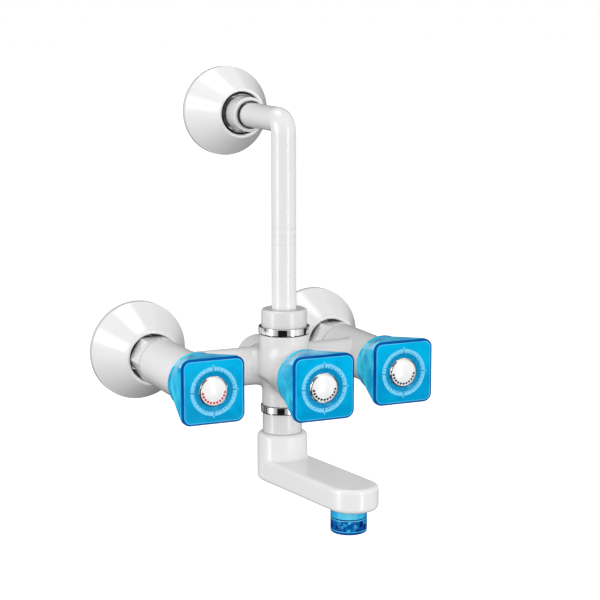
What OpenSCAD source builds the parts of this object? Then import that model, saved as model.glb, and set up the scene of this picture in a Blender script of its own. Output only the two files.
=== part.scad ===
// Wall mixer with three square crystal knobs, a swivel spout and a riser pipe
// that bends back to the wall. Millimetres, +Z up. The wall is the plane y = 0
// and the mixer stands out from it towards -Y. The origin lies on the wall,
// midway between the hot and the cold inlet, at the height of their axes.

/* [Layout] */
// Distance between the hot and the cold inlet
inlet_spacing = 150; // [140:1:170]
// Distance from the wall to the axis of barrel and riser
axis_out = 115; // [112:1:130]
// How much nearer the wall the axis of outlet and spout lies
outlet_back = 3.5; // [0:0.5:5]
// Height of the riser arm above the inlets
riser_height = 184; // [130:0.1:260]
// Distance from the spout's axis to its outlet
spout_reach = 88.5; // [70:0.5:100]
// Angle of the spout away from straight ahead at rest, in degrees
spout_swing = 8.4; // [-20:0.1:20]

/* [Body] */
// Radius of the two valve legs
leg_r = 18.1; // [17.6:0.1:20]
// Distance from the wall to the back end of the legs
leg_back = 57.4; // [55:0.1:62]
// Distance from the riser's axis to the front face of the legs
leg_ahead = 11.5; // [10:0.1:16]
// Radius of the middle boss that holds the diverter
boss_r = 17.5; // [16.5:0.1:19]
// Distance from the wall to the closed back of the middle boss
boss_back = 63; // [50:1:75]
// How far the diverter face stands in front of the leg faces
divert_ahead = 22.9; // [18:0.1:30]
// Radius of the cross tube
tube_r = 14.35; // [13.5:0.05:16]
// Distance from the wall to the axis of the cross tube
tube_out = 94.5; // [92:0.5:97]
// Radius of the barrel under the riser
barrel_r = 18.5; // [17.6:0.1:18.5]
// Height of the top face of the barrel
barrel_top = 27.4; // [26:0.1:36]
// Radius of the outlet stub under the body
stub_r = 15; // [14:0.1:16.5]
// Depth of the lower face of the outlet stub below the inlets
stub_bottom = 27.2; // [24:0.1:34]

/* [Waterways] */
// Radius of the main waterways
way_r = 8; // [6:0.1:9]
// Radius of the bore behind each valve seat
leg_bore_r = 9; // [7:0.1:10]
// Radius of the hole in each valve seat
seat_r = 6.5; // [4:0.1:8]
// Thickness of each valve seat
seat_t = 3; // [2:0.1:5]
// Radius of the chambers that take the headworks
chamber_r = 12.5; // [12:0.1:13]
// Depth of the valve chambers behind the leg face
chamber_depth = 42; // [41:0.5:44]
// Thickness of the closed back of the middle boss
boss_wall = 5; // [3:0.5:8]

/* [Inlet connections] */
// Radius of the inlet threads, G half inch
inlet_thread_r = 10.478; // [10.4:0.001:10.6]
// Length of inlet thread that goes into the wall
inlet_thread_l = 16; // [12:1:25]
// Radius of the union threads, G three quarter inch
union_thread_r = 13.22; // [12.8:0.01:13.5]
// Radius of the bore through connectors and tailpieces
tail_bore_r = 7.5; // [5:0.1:8.5]
// Outer radius of the tailpiece
tail_r = 11; // [10:0.1:11.5]
// Depth of the tailpiece inside the leg
tail_depth = 14.6; // [8:0.1:20]
// Thickness of the shoulder on the tailpiece
shoulder_t = 3; // [2:0.1:4]
// Thickness of the union washer
union_washer_t = 2.2; // [1.5:0.1:3]
// Union nut, across flats
union_nut_af = 31; // [30:0.1:31.4]
// Length of the union nut
union_nut_l = 24.2; // [20:0.1:28]
// Thickness of the inward lip of the union nut
union_lip_t = 6; // [3:0.1:8]
// Across flats of the spanner hexagons on connector and nipple
spanner_af = 27; // [24:0.5:28]
// Length of the spanner hexagons
spanner_l = 8; // [5:0.5:10]
// Thread left in front of the wall before the spanner hexagon
thread_runout = 6; // [3:0.5:8]

/* [Wall flanges] */
// Radius of the inlet flanges at the wall
flange_r = 38.5; // [35:0.1:42]
// Depth of the inlet flanges
flange_depth = 37.6; // [32:0.1:40]
// Outer radius of the lip of the inlet flanges
flange_lip_r = 21.9; // [21:0.1:24]
// Radius of the riser flange at the wall
riser_flange_r = 34.6; // [30:0.1:38]
// Depth of the riser flange
riser_flange_depth = 36.6; // [32:0.1:40]
// Radius of the hole in the riser flange
riser_flange_hole_r = 16.4; // [16:0.1:17]
// Outer radius of the lip of the riser flange
riser_flange_lip_r = 19.3; // [18.5:0.1:21]
// Height of the straight rim of the flanges
flange_rim = 4.2; // [3:0.1:6]
// Wall thickness of the flanges
flange_wall = 2.6; // [2:0.1:3.2]

/* [Riser] */
// Outer radius of the riser pipe
pipe_r = 9.2; // [8:0.1:10]
// Wall thickness of the riser pipe
pipe_wall = 2; // [1.2:0.1:2.6]
// Radius of the bend at the top of the riser, on the pipe's axis
bend_r = 10; // [9.5:0.1:20]
// Radius of the riser nut
riser_nut_r = 16.85; // [15:0.05:18]
// Height of the top of the riser nut above the barrel
riser_nut_h = 18.5; // [14:0.1:24]
// Radius of the threaded part of the riser nut
riser_thread_r = 12.95; // [12.5:0.05:13.5]
// Depth of the threaded socket in the barrel
riser_socket_d = 13.4; // [11:0.1:16]
// Thickness of the riser seal
riser_seal_t = 5.9; // [3:0.1:7]
// Outer radius of the upper chrome ring
upper_ring_r = 19; // [18.6:0.1:21]
// Height of the upper chrome ring
upper_ring_h = 5.5; // [3:0.1:8]
// Number of fine grooves round the riser
groove_count = 3; // [1:1:5]
// Height of the lowest groove above the inlets
groove_z = 94; // [60:1:110]
// Distance between the grooves
groove_pitch = 5.8; // [4:0.1:8]
// Width of the grooves
groove_w = 0.7; // [0.4:0.1:1.2]
// Depth of the grooves
groove_d = 0.35; // [0.2:0.05:0.6]
// Outer radius of the coupling at the wall end of the riser
coupling_r = 13.1; // [12.9:0.1:14]
// Distance from the wall to the back of the coupling
coupling_back = 35.2; // [34:0.1:38]
// Length of the coupling
coupling_l = 17.1; // [14:0.1:24]
// Length of the pipe inside the coupling
coupling_grip = 9.3; // [6:0.1:11]
// Radius of the threaded nose of the wall nipple
nipple_nose_r = 11.9; // [11.6:0.1:12.2]
// Radius of the lock nut behind the coupling
lock_nut_r = 15.6; // [14:0.1:15.9]
// Length of the lock nut
lock_nut_l = 11.2; // [8:0.1:14]
// Radius of the trim ring in front of the coupling
trim_ring_r = 10.7; // [10.2:0.1:12]
// Length of the trim ring
trim_ring_l = 2; // [1:0.1:4]
// Thickness of the washer in the coupling
riser_washer_t = 1; // [0.6:0.1:1.5]

/* [Spout] */
// Outer radius of the lower chrome ring
lower_ring_r = 16.1; // [15.8:0.1:18]
// Height of the lower chrome ring
lower_ring_h = 5.4; // [3:0.1:8]
// Radius of the neck between ring and spout
neck_r = 14.7; // [13.5:0.1:15]
// Height of the neck
neck_h = 14.9; // [10:0.1:20]
// Radius of the thread at the top of the neck
neck_thread_r = 12; // [11:0.1:12.5]
// Length of the thread at the top of the neck, above the chrome ring
neck_thread_l = 12.4; // [8:0.1:14]
// Radius of the spigot that the spout turns on
spigot_r = 11.5; // [11:0.1:12]
// Length of the spigot
spigot_l = 22; // [21:0.1:24]
// Outer radius of the spout collar
collar_r = 18.7; // [17.5:0.1:20]
// Height of the spout from its underside to the top of the collar
collar_h = 36.4; // [33:0.1:42]
// Radius of the rounded shoulder and foot of the collar
collar_round = 3.7; // [1:0.1:3.9]
// Fillet between the collar and the top of the arm
collar_fillet = 2.4; // [1:0.1:3]
// Half the width of the spout arm
arm_half_w = 18.5; // [16:0.1:18.6]
// Height of the spout arm
arm_h = 17.4; // [15:0.1:19]
// Radius of the rounded edges of the spout
arm_round = 3.2; // [1:0.1:4]
// How far the middle of the rounded nose lies beyond the outlet
nose_ahead = 4.6; // [0:0.1:8]
// Thickness of the walls of the spout
spout_wall = 3.6; // [2.5:0.1:4]
// Depth of the ledge that the retaining clip holds, below the top of the collar
clip_ledge = 18.4; // [17:0.1:20]
// Thickness of the retaining clip
clip_t = 1.2; // [0.8:0.1:1.6]
// Width of the split in the retaining clip
clip_split = 3; // [1:0.5:6]
// Radius of the cord of each spout seal
o_ring_t = 1.3; // [1:0.05:1.5]

/* [Aerator] */
// Outer radius of the aerator
aerator_r = 13.05; // [12.5:0.05:14]
// Height of the aerator below the spout
aerator_h = 18.1; // [14:0.1:22]
// Height of the band above the aerator cup
aerator_band = 7.4; // [5:0.1:9]
// Rounding of the lower edge of the aerator
aerator_round = 1.5; // [0.5:0.1:2]
// Radius of the thread on the aerator, M24 class
aerator_thread_r = 11.4; // [11:0.1:12]
// Length of the thread on the aerator
aerator_thread_l = 5.6; // [4:0.1:6]
// Radius of the mouth of the aerator
mouth_r = 10.5; // [9:0.1:11]
// Depth of the mouth up to the flow straightener
mouth_depth = 4.2; // [2:0.1:6]
// Thickness of the flow straightener
straightener_t = 6; // [3:0.1:7]
// Distance between the cells of the flow straightener
cell_pitch = 2.7; // [2.4:0.1:4]
// Radius of the cells of the flow straightener
cell_r = 1.05; // [0.7:0.05:1.15]
// Thickness of the aerator washer
aerator_washer_t = 2; // [1:0.1:2.5]

/* [Headworks] */
// Radius of the valve spindles
spindle_r = 4; // [3.5:0.1:4.5]
// Across flats of the hexagon on the headworks
bonnet_af = 25; // [22:0.5:26]
// Height of the hexagon on the headworks
bonnet_hex_h = 4.5; // [3:0.1:6]
// Radius of the neck of the headworks
bonnet_neck_r = 6.5; // [5.5:0.1:7.5]
// Height of the neck above the hexagon
bonnet_neck_h = 5.5; // [3:0.1:6]
// Radius of the pocket for the ceramic discs
pocket_r = 9.4; // [9:0.1:10]
// Thickness of each ceramic disc
disc_t = 3; // [2:0.1:3.2]
// Angle that each port of the discs takes up, in degrees
port_angle = 80; // [50:1:84]
// Inner radius of the ports
port_in = 2.5; // [2.4:0.1:4]
// Outer radius of the ports
port_out = 7; // [6:0.1:7.5]
// Width of the side windows of the headworks
window_w = 8; // [4:0.5:10]
// Thickness of the drive foot on the spindle
foot_t = 3.1; // [2:0.1:3.3]
// Width of the drive foot
foot_w = 8; // [5:0.5:10]
// Thickness of the seat seal
seat_seal_t = 2; // [1:0.1:3]
// Outer radius of the diverter plug
plug_r = 12.2; // [11.6:0.1:12.2]
// Wall thickness of the diverter plug
plug_wall = 3; // [2:0.1:3.5]
// Length of the diverter plug
plug_l = 24; // [22:1:24]
// Angle of the wall that the plug keeps, in degrees
plug_shut = 100; // [90:1:110]
// Drive tongue, width
tongue_w = 3; // [2:0.1:4]
// Drive tongue, length
tongue_l = 11; // [8:0.1:13]
// Drive tongue, height
tongue_h = 1.6; // [1:0.1:2]

/* [Knobs] */
// Side of the square front plate of each knob
knob_w = 47.5; // [44:0.1:52]
// Corner radius of the front plate
knob_corner_r = 6.5; // [4:0.1:10]
// Radius of the round back of each knob
knob_back_r = 21.75; // [20.5:0.05:22.5]
// Depth of each knob from its round back to its front plate
knob_depth = 34.8; // [34:0.1:38]
// Thickness of the front plate
plate_t = 5; // [3:0.1:7]
// Rounding of the plate's edges
plate_round = 1.2; // [0.5:0.1:2]
// Length of the round skirt at the back
skirt_l = 5; // [3:0.1:8]
// Running gap between the knob and the face behind it
knob_gap = 1.2; // [0.5:0.1:2]
// Radius of the hollow in the back of each knob
knob_hollow_r = 16; // [15:0.1:17.5]
// Depth of the hollow in the back of each knob
knob_hollow_d = 10.8; // [9.5:0.1:12]
// Length of the splined bush inside each knob
bush_l = 15; // [12:0.1:16]
// Radius of the splined bush
bush_r = 7; // [6:0.1:8]
// Teeth of the spline
spline_teeth = 20; // [12:1:24]
// Depth of the spline's teeth
spline_d = 0.4; // [0.2:0.05:0.6]
// Radius of the spline over its teeth
spline_r = 3.95; // [3.4:0.05:4]
// Radius of the knob screw's shank
screw_r = 1.65; // [1.2:0.05:2]
// Radius of the knob screw's head
screw_head_r = 3.6; // [3:0.1:4]
// Height of the knob screw's head
screw_head_h = 2.4; // [1.5:0.1:2.6]
// Length of the knob screw's shank
screw_l = 8; // [5:0.5:9]
// Depth of the screw hole in the spindle
screw_depth = 10; // [9.5:0.5:12]
// Radius of the indicator cap
cap_r = 9.9; // [8:0.1:11]
// Width of the chrome rim round the cap
cap_rim_w = 0.8; // [0.5:0.1:1.5]
// Depth of the recess for the cap
cap_recess = 3.4; // [2:0.1:4]
// Height of the cap over the plate
cap_proud = 1.4; // [0.8:0.1:2]
// Height of the chrome rim over the plate
cap_rim_proud = 0.6; // [0.2:0.1:0.7]
// Height of the cap's dome
cap_dome = 1.5; // [0.5:0.1:2]
// Radius of the peg under the cap
cap_peg_r = 4.2; // [3:0.1:4.2]
// Length of the peg under the cap
cap_peg_l = 2.6; // [1:0.1:2.8]
// Outer radius of the raised ring on the plate
dial_r = 17.6; // [16:0.1:20]
// Width of the raised ring
dial_w = 2.8; // [1.5:0.1:3.5]
// Height of the raised ring
dial_h = 0.5; // [0.3:0.05:1]
// Gap between the quarters of the raised ring
dial_gap = 0.9; // [0.5:0.1:2]
// Depth of the dish inside the raised ring
dish_d = 1.2; // [0.5:0.1:2]

/* [Fits] */
// Clearance round pieces that screw or press together
fit_gap = 0.05; // [0.03:0.01:0.1]
// Clearance between faces that pass each other
free_gap = 0.3; // [0.25:0.05:0.5]
// Bevel on the edges of turned pieces
edge = 0.6; // [0.3:0.1:1]

/* [Hidden] */
$fn = 64;
// points in each quarter of a knob's cross-section
section_n = 12;

// places of the three valve axes
hot_x = -inlet_spacing / 2;
cold_x = inlet_spacing / 2;
outlet_out = axis_out - outlet_back;
leg_front = axis_out + leg_ahead;
divert_front = leg_front + divert_ahead;
// heights along the vertical axis
socket_floor = barrel_top - riser_socket_d;
neck_top = -stub_bottom - lower_ring_h;
neck_bottom = neck_top - neck_h;
collar_top = neck_bottom - free_gap;
spout_bottom = collar_top - collar_h;
arm_top = spout_bottom + arm_h;
ledge_z = collar_top - clip_ledge;
collar_bore_r = spigot_r + free_gap;
clip_r = spigot_r + 1.5;
clip_groove_r = spigot_r - 1.6;
o_ring_seat_r = spigot_r + free_gap - fit_gap - 2 * o_ring_t;
// stack of one union joint, as distances from the wall
nut_front = leg_back - 0.2;
nut_back = nut_front - union_nut_l;
shoulder_front = nut_front - union_lip_t;
shoulder_back = shoulder_front - shoulder_t;
connector_front = shoulder_back - union_washer_t;
shoulder_r = union_thread_r - 0.2;
// stack of one valve, from the face of its leg outwards
headwork_back = seat_seal_t - chamber_depth;
disc_gap = fit_gap;
turning_disc_z = headwork_back + disc_t + disc_gap;
foot_z = turning_disc_z + disc_t + disc_gap;
pocket_front = foot_z + foot_t + free_gap;
neck_front = bonnet_hex_h + bonnet_neck_h;
bush_z = knob_gap + knob_hollow_d;
spindle_front = bush_z + bush_l - 2;
socket_front = spindle_front + free_gap;
plate_front = knob_gap + knob_depth;
recess_z = plate_front - cap_recess;
rim_r = cap_r + cap_rim_w + fit_gap;
// stack of the diverter, from the face of the middle boss outwards
plug_back = axis_out - plug_l / 2 - divert_front;
plug_front = plug_back + plug_l;
divert_foot_z = plug_front + fit_gap;
divert_pocket_front = divert_foot_z + foot_t + free_gap;
// flanges slide over the legs and the riser coupling
flange_hole_r = leg_r + free_gap;
pipe_end = coupling_back + coupling_l - coupling_grip;
nipple_front = pipe_end - riser_washer_t;
clip_z = ledge_z - free_gap - clip_t;
o_ring_z = [collar_top - 5, collar_top - 11];
straightener_r = mouth_r + 0.6;
foot_r = pocket_r - free_gap - 2 * fit_gap;
spline_z = bush_z - 1;

// stands a child on the wall side, its +Z pointing out from the wall
module from_wall(x, out, z = 0) translate([x, -out, z]) rotate([90, 0, 0]) children();

// turned rod with bevelled ends
module rod(r, h, bevel = edge) rotate_extrude()
    polygon([[0, 0], [r - bevel, 0], [r, bevel], [r, h - bevel], [r - bevel, h], [0, h]]);

// ring with square section and bevelled outer edges
module ring(r, bore, h, bevel = 0) rotate_extrude()
    polygon([[bore, 0], [r - bevel, 0], [r, bevel], [r, h - bevel], [r - bevel, h], [bore, h]]);

// hexagon with its corners turned off at the front and back
module hexagon(af, h, turned) intersection() {
    cylinder(r = af / sqrt(3), h = h, $fn = 6);
    rod(af / sqrt(3) + 0.01, h, turned);
}

// drilled hole that runs a little past both ends
module hole(r, h, past = 0.1) translate([0, 0, -past]) cylinder(r = r, h = h + 2 * past);

// closed body of legs, cross tube, middle boss, barrel and outlet stub
module body_outside() {
    for (x = [hot_x, cold_x]) from_wall(x, leg_back) rod(leg_r, leg_front - leg_back);
    from_wall(0, boss_back) rod(boss_r, divert_front - boss_back, 1);
    translate([hot_x, -tube_out, 0]) rotate([0, 90, 0]) cylinder(r = tube_r, h = inlet_spacing);
    translate([0, -axis_out, 0]) rod(barrel_r, barrel_top, 0.4);
    translate([0, -outlet_out, -stub_bottom]) rod(stub_r, stub_bottom, 0.4);
}

// bores of one leg: tailpiece socket, supply bore, seat and valve chamber
module leg_bores() {
    chamber_z = leg_front - leg_back - chamber_depth;
    hole(tail_r + fit_gap, tail_depth);
    cylinder(r = leg_bore_r, h = chamber_z - seat_t);
    cylinder(r = seat_r, h = chamber_z + 1);
    translate([0, 0, chamber_z]) cylinder(r = chamber_r, h = chamber_depth + 1);
}

// chamber of the diverter plug, seen from the face of the boss, and the mixing hollow behind it
module divert_bores() {
    chamber_z = plug_back - free_gap;
    hollow_z = boss_back + boss_wall - divert_front;
    translate([0, 0, hollow_z]) cylinder(r = leg_bore_r, h = chamber_z - hollow_z + 1);
    translate([0, 0, chamber_z]) cylinder(r = chamber_r, h = 1 - chamber_z);
}

module body() color("white") difference() {
    body_outside();
    for (x = [hot_x, cold_x]) from_wall(x, leg_back) leg_bores();
    from_wall(0, divert_front) divert_bores();
    translate([hot_x, -tube_out, 0]) rotate([0, 90, 0]) cylinder(r = way_r, h = inlet_spacing);
    translate([0, -axis_out, 0]) {
        cylinder(r = way_r, h = barrel_top);
        translate([0, 0, socket_floor])
            cylinder(r = riser_thread_r + fit_gap, h = riser_socket_d + 1);
    }
    translate([0, -outlet_out, -stub_bottom - 1]) {
        cylinder(r = way_r, h = stub_bottom + 1);
        cylinder(r = neck_thread_r + fit_gap, h = neck_thread_l + 1.2);
    }
}

// chrome union nut: hexagon outside, thread bore behind an inward lip
module union_nut() color("silver") translate([0, 0, nut_back]) difference() {
    hexagon(union_nut_af, union_nut_l, 1.2);
    hole(tail_r + free_gap, union_nut_l);
    translate([0, 0, -1]) cylinder(r = union_thread_r + fit_gap, h = union_nut_l - union_lip_t + 1);
}

// tube with a shoulder that the union nut pulls against its washer
module tailpiece() color("goldenrod") translate([0, 0, shoulder_back]) difference() {
    union() {
        rod(tail_r, leg_back + tail_depth - shoulder_back);
        rod(shoulder_r, shoulder_t, 0.3);
    }
    hole(tail_bore_r, leg_back + tail_depth - shoulder_back);
}

module union_washer() color("dimgray") translate([0, 0, connector_front])
    ring(shoulder_r, tail_bore_r, union_washer_t);

// straight connector: wall thread, spanner hexagon, plain neck and union thread
module inlet_connector() color("silver") difference() {
    union() {
        translate([0, 0, -inlet_thread_l]) rod(inlet_thread_r, inlet_thread_l + thread_runout, 1);
        translate([0, 0, thread_runout]) hexagon(spanner_af, spanner_l, 0.8);
        translate([0, 0, thread_runout]) cylinder(r = tail_r, h = connector_front - thread_runout);
        translate([0, 0, nut_back - 3]) rod(union_thread_r, connector_front - nut_back + 3, 0.5);
    }
    translate([0, 0, -inlet_thread_l]) hole(tail_bore_r, inlet_thread_l + connector_front);
}

// bell-shaped wall flange: straight rim, straight slope and a rolled lip round its hole
module flange(r, depth, lip_r, hole_r) color("white") rotate_extrude() {
    lip_t = (lip_r - hole_r) / 2;
    half = flange_wall / 2;
    foot = [r - half, flange_rim];
    lip = [hole_r + lip_t, depth - lip_t];
    along = (lip - foot) / norm(lip - foot);
    across = [along.y, -along.x];
    lean = atan2(across.y, across.x);
    inner = foot - half * across;
    to_rim = (inner.x - r + flange_wall) / -along.x;
    polygon([[r - flange_wall, 0], [r, 0],
        for (i = [0 : 4]) foot + half * [cos(lean * i / 4), sin(lean * i / 4)],
        lip + half * across, lip - half * across, inner + to_rim * along]);
    translate(lip) circle(r = lip_t);
}

module inlet_flange() flange(flange_r, flange_depth, flange_lip_r, flange_hole_r);

module top_flange() flange(riser_flange_r, riser_flange_depth, riser_flange_lip_r, riser_flange_hole_r);

// profile with a rounded outer top corner
module rounded_top(r, h, round) {
    square([r - round, h]);
    square([r, h - round]);
    translate([r - round, h - round]) circle(r = round);
}

// the pipe's path, filled to radius r and run past both ends
module riser_run(r, past = 0) {
    translate([0, -axis_out, socket_floor - past])
        cylinder(r = r, h = riser_height - bend_r - socket_floor + past);
    translate([0, bend_r - axis_out, riser_height - bend_r]) rotate([90, 0, -90])
        rotate_extrude(angle = 90) translate([bend_r, 0]) circle(r = r);
    from_wall(0, pipe_end - past, riser_height)
        cylinder(r = r, h = axis_out - bend_r - pipe_end + past);
}

module riser_pipe() color("white") difference() {
    riser_run(pipe_r);
    riser_run(pipe_r - pipe_wall, 1);
    for (i = [0 : groove_count - 1]) translate([0, -axis_out, groove_z + i * groove_pitch])
        ring(pipe_r + 1, pipe_r - groove_d, groove_w);
}

module riser_nut() color("white") translate([0, -axis_out, 0]) rotate_extrude() difference() {
    union() {
        translate([0, barrel_top]) rounded_top(riser_nut_r, riser_nut_h, 2);
        translate([0, socket_floor + riser_seal_t])
            square([riser_thread_r, riser_socket_d - riser_seal_t + 1]);
    }
    translate([0, socket_floor]) square([pipe_r + 2 * fit_gap, riser_socket_d + riser_nut_h + 1]);
}

module riser_seal() color("dimgray") translate([0, -axis_out, socket_floor])
    ring(riser_thread_r, pipe_r + fit_gap, riser_seal_t);

module upper_ring() color("silver") translate([0, -axis_out, barrel_top])
    ring(upper_ring_r, riser_nut_r + fit_gap, upper_ring_h, 0.5);

module riser_trim_ring() color("silver") from_wall(0, coupling_back + coupling_l, riser_height)
    ring(trim_ring_r, pipe_r + fit_gap, trim_ring_l, 0.4);

module riser_coupling() color("white") from_wall(0, coupling_back, riser_height) difference() {
    rod(coupling_r, coupling_l, 0.8);
    hole(pipe_r + fit_gap, coupling_l);
    translate([0, 0, -1]) cylinder(r = nipple_nose_r + fit_gap, h = pipe_end - coupling_back + 1);
}

module riser_washer() color("dimgray") from_wall(0, nipple_front, riser_height)
    ring(nipple_nose_r, tail_bore_r, pipe_end - nipple_front);

module riser_lock_nut() color("silver") from_wall(0, coupling_back - lock_nut_l, riser_height)
    ring(lock_nut_r, nipple_nose_r + fit_gap, lock_nut_l, 0.8);

module riser_wall_nipple() color("silver") from_wall(0, 0, riser_height) difference() {
    union() {
        translate([0, 0, -inlet_thread_l]) rod(inlet_thread_r, inlet_thread_l + thread_runout, 1);
        translate([0, 0, thread_runout]) hexagon(spanner_af, spanner_l, 0.8);
        translate([0, 0, thread_runout]) rod(nipple_nose_r, nipple_front - thread_runout);
    }
    translate([0, 0, -inlet_thread_l]) hole(tail_bore_r, inlet_thread_l + nipple_front);
}

module lower_ring() color("silver") translate([0, -outlet_out, neck_top])
    ring(lower_ring_r, neck_thread_r + fit_gap, lower_ring_h, 0.5);

// threaded top, plain neck and the spigot that the spout turns on
module spout_neck() color("white") translate([0, -outlet_out, 0]) difference() {
    union() {
        translate([0, 0, neck_top]) cylinder(r = neck_thread_r, h = lower_ring_h + neck_thread_l);
        translate([0, 0, neck_bottom]) cylinder(r = neck_r, h = neck_h);
        translate([0, 0, neck_bottom - spigot_l]) rod(spigot_r, spigot_l + 1);
    }
    translate([0, 0, neck_bottom - spigot_l])
        hole(way_r, spigot_l + neck_h + lower_ring_h + neck_thread_l);
    for (z = o_ring_z) translate([0, 0, z - o_ring_t])
        ring(spigot_r + 1, o_ring_seat_r, 2 * o_ring_t);
    translate([0, 0, clip_z]) ring(spigot_r + 1, clip_groove_r, clip_t);
}

module spout_o_rings() color("dimgray") for (z = o_ring_z) translate([0, -outlet_out, z])
    rotate_extrude() translate([o_ring_seat_r + o_ring_t, 0]) circle(r = o_ring_t);

// split ring that carries the spout under its ledge
module spout_clip() color("silver") translate([0, -outlet_out, clip_z]) difference() {
    ring(clip_r, clip_groove_r, clip_t);
    translate([0, -clip_split / 2, -1]) cube([clip_r + 1, clip_split, clip_t + 2]);
}

// puts a child on the spout's axis, its +X pointing along the arm
module on_spout() translate([0, -outlet_out, 0]) rotate([0, 0, spout_swing - 90]) children();

// half section of a disc with rounded edges
module round_disc_section(r, h, round) {
    square([r - round, h]);
    translate([0, round]) square([r, h - 2 * round]);
    for (z = [round, h - round]) translate([r - round, z]) circle(r = round);
}

// arm section: a bar with four rounded edges
module arm_section() {
    translate([arm_round - arm_half_w, 0]) square([2 * (arm_half_w - arm_round), arm_h]);
    translate([-arm_half_w, arm_round]) square([2 * arm_half_w, arm_h - 2 * arm_round]);
    for (x = [-1, 1], z = [arm_round, arm_h - arm_round])
        translate([x * (arm_half_w - arm_round), z]) circle(r = arm_round);
}

// concave fillet round a post of radius r, standing on z = 0
module fillet_section(r, fillet) difference() {
    translate([r - 1, -1]) square([fillet + 1, fillet + 1]);
    translate([r + fillet, fillet]) circle(r = fillet);
}

module spout_outside() translate([0, 0, spout_bottom]) {
    intersection() {
        translate([0, 0, arm_h]) rotate_extrude() fillet_section(collar_r, collar_fillet);
        translate([0, arm_round - arm_half_w, 0])
            cube([collar_r + collar_fillet, 2 * (arm_half_w - arm_round), collar_h]);
    }
    rotate_extrude() round_disc_section(collar_r, collar_h, collar_round);
    rotate([90, 0, 90]) linear_extrude(spout_reach + nose_ahead) arm_section();
    translate([spout_reach + nose_ahead, 0, 0]) rotate([0, 0, -90])
        rotate_extrude(angle = 180) round_disc_section(arm_half_w, arm_h, arm_round);
}

module spout() color("white") on_spout() difference() {
    channel_w = 2 * (arm_half_w - spout_wall);
    floor_z = spout_bottom + spout_wall;
    roof_z = arm_top - spout_wall;
    thread_h = aerator_thread_l + aerator_washer_t;
    thread_top = spout_bottom + thread_h;
    end_x = spout_reach - aerator_thread_r - 2.6;
    spout_outside();
    translate([0, 0, ledge_z]) cylinder(r = collar_bore_r, h = collar_h);
    translate([0, 0, floor_z]) cylinder(r = collar_r - spout_wall, h = ledge_z - floor_z);
    translate([0, -channel_w / 2, floor_z]) cube([end_x, channel_w, roof_z - floor_z]);
    translate([end_x - 1, -way_r, thread_top])
        cube([spout_reach - end_x + 1, 2 * way_r, roof_z - thread_top]);
    translate([spout_reach, 0, 0]) {
        translate([0, 0, thread_top - 1]) cylinder(r = way_r, h = roof_z - thread_top + 1);
        translate([0, 0, spout_bottom - 1]) cylinder(r = aerator_thread_r + fit_gap, h = thread_h + 1);
    }
}

// puts a child under the outlet, its +Z pointing up from the foot of the aerator
module on_outlet() on_spout() translate([spout_reach, 0, spout_bottom - aerator_h]) children();

module aerator_housing() color("deepskyblue") on_outlet() difference() {
    union() {
        rotate_extrude() {
            translate([0, aerator_round]) square([aerator_r, aerator_h - aerator_round]);
            square([aerator_r - aerator_round, aerator_h]);
            translate([aerator_r - aerator_round, aerator_round]) circle(r = aerator_round);
        }
        cylinder(r = aerator_thread_r, h = aerator_h + aerator_thread_l);
    }
    hole(mouth_r, mouth_depth + 1);
    translate([0, 0, mouth_depth])
        cylinder(r = straightener_r + fit_gap, h = aerator_h + aerator_thread_l);
    translate([0, 0, aerator_h - aerator_band]) ring(aerator_r + 1, aerator_r - 0.4, 0.8);
}

// disc of round cells in a hexagonal pattern
module flow_straightener() color("white") on_outlet() translate([0, 0, mouth_depth]) difference() {
    rows = floor(straightener_r / cell_pitch) + 1;
    rod(straightener_r, straightener_t, 0.3);
    for (i = [-rows : rows], j = [-rows : rows]) {
        x = cell_pitch * (i + j / 2);
        y = cell_pitch * j * sqrt(3) / 2;
        if (norm([x, y]) < mouth_r - cell_r - 0.3)
            translate([x, y, -1]) cylinder(r = cell_r, h = straightener_t + 2, $fn = 24);
    }
}

module aerator_washer() color("dimgray") on_outlet() translate([0, 0, aerator_h + aerator_thread_l])
    ring(aerator_thread_r, way_r + fit_gap, aerator_washer_t);

// threaded bonnet with hexagon and neck round the spindle, as long as its thread
module bonnet(thread_l) {
    translate([0, 0, -thread_l]) cylinder(r = chamber_r - fit_gap, h = thread_l);
    hexagon(bonnet_af, bonnet_hex_h, 0.8);
    rod(bonnet_neck_r, neck_front);
}

// headwork of a hot or cold valve, with a pocket for the discs and four windows to a channel
module headwork() color("goldenrod") difference() {
    bonnet(-headwork_back);
    translate([0, 0, headwork_back - 1]) cylinder(r = pocket_r, h = pocket_front - headwork_back + 1);
    translate([0, 0, headwork_back]) hole(spindle_r + fit_gap, neck_front - headwork_back);
    translate([0, 0, turning_disc_z])
        ring(chamber_r + 1, (pocket_r + chamber_r) / 2, pocket_front - turning_disc_z);
    for (a = [0, 90]) rotate([0, 0, a]) translate([-chamber_r - 1, -window_w / 2, turning_disc_z])
        cube([2 * chamber_r + 2, window_w, pocket_front - turning_disc_z]);
}

module diverter_bonnet() color("goldenrod") from_wall(0, divert_front) difference() {
    bonnet(-divert_foot_z);
    translate([0, 0, divert_foot_z - 1])
        cylinder(r = pocket_r, h = divert_pocket_front - divert_foot_z + 1);
    translate([0, 0, divert_foot_z]) hole(spindle_r + fit_gap, neck_front - divert_foot_z);
}

module seat_seal() color("dimgray") translate([0, 0, -chamber_depth])
    ring(chamber_r - fit_gap, seat_r, seat_seal_t);

// two fan-shaped ports, middled on the local X axis
module ports() for (a = [0, 180]) rotate([0, 0, a - port_angle / 2]) translate([0, 0, -1])
    rotate_extrude(angle = port_angle) translate([port_in, 0]) square([port_out - port_in, disc_t + 2]);

module fixed_disc() color("ghostwhite") translate([0, 0, headwork_back]) difference() {
    cylinder(r = pocket_r - fit_gap, h = disc_t);
    rotate([0, 0, 90]) ports();
}

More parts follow.
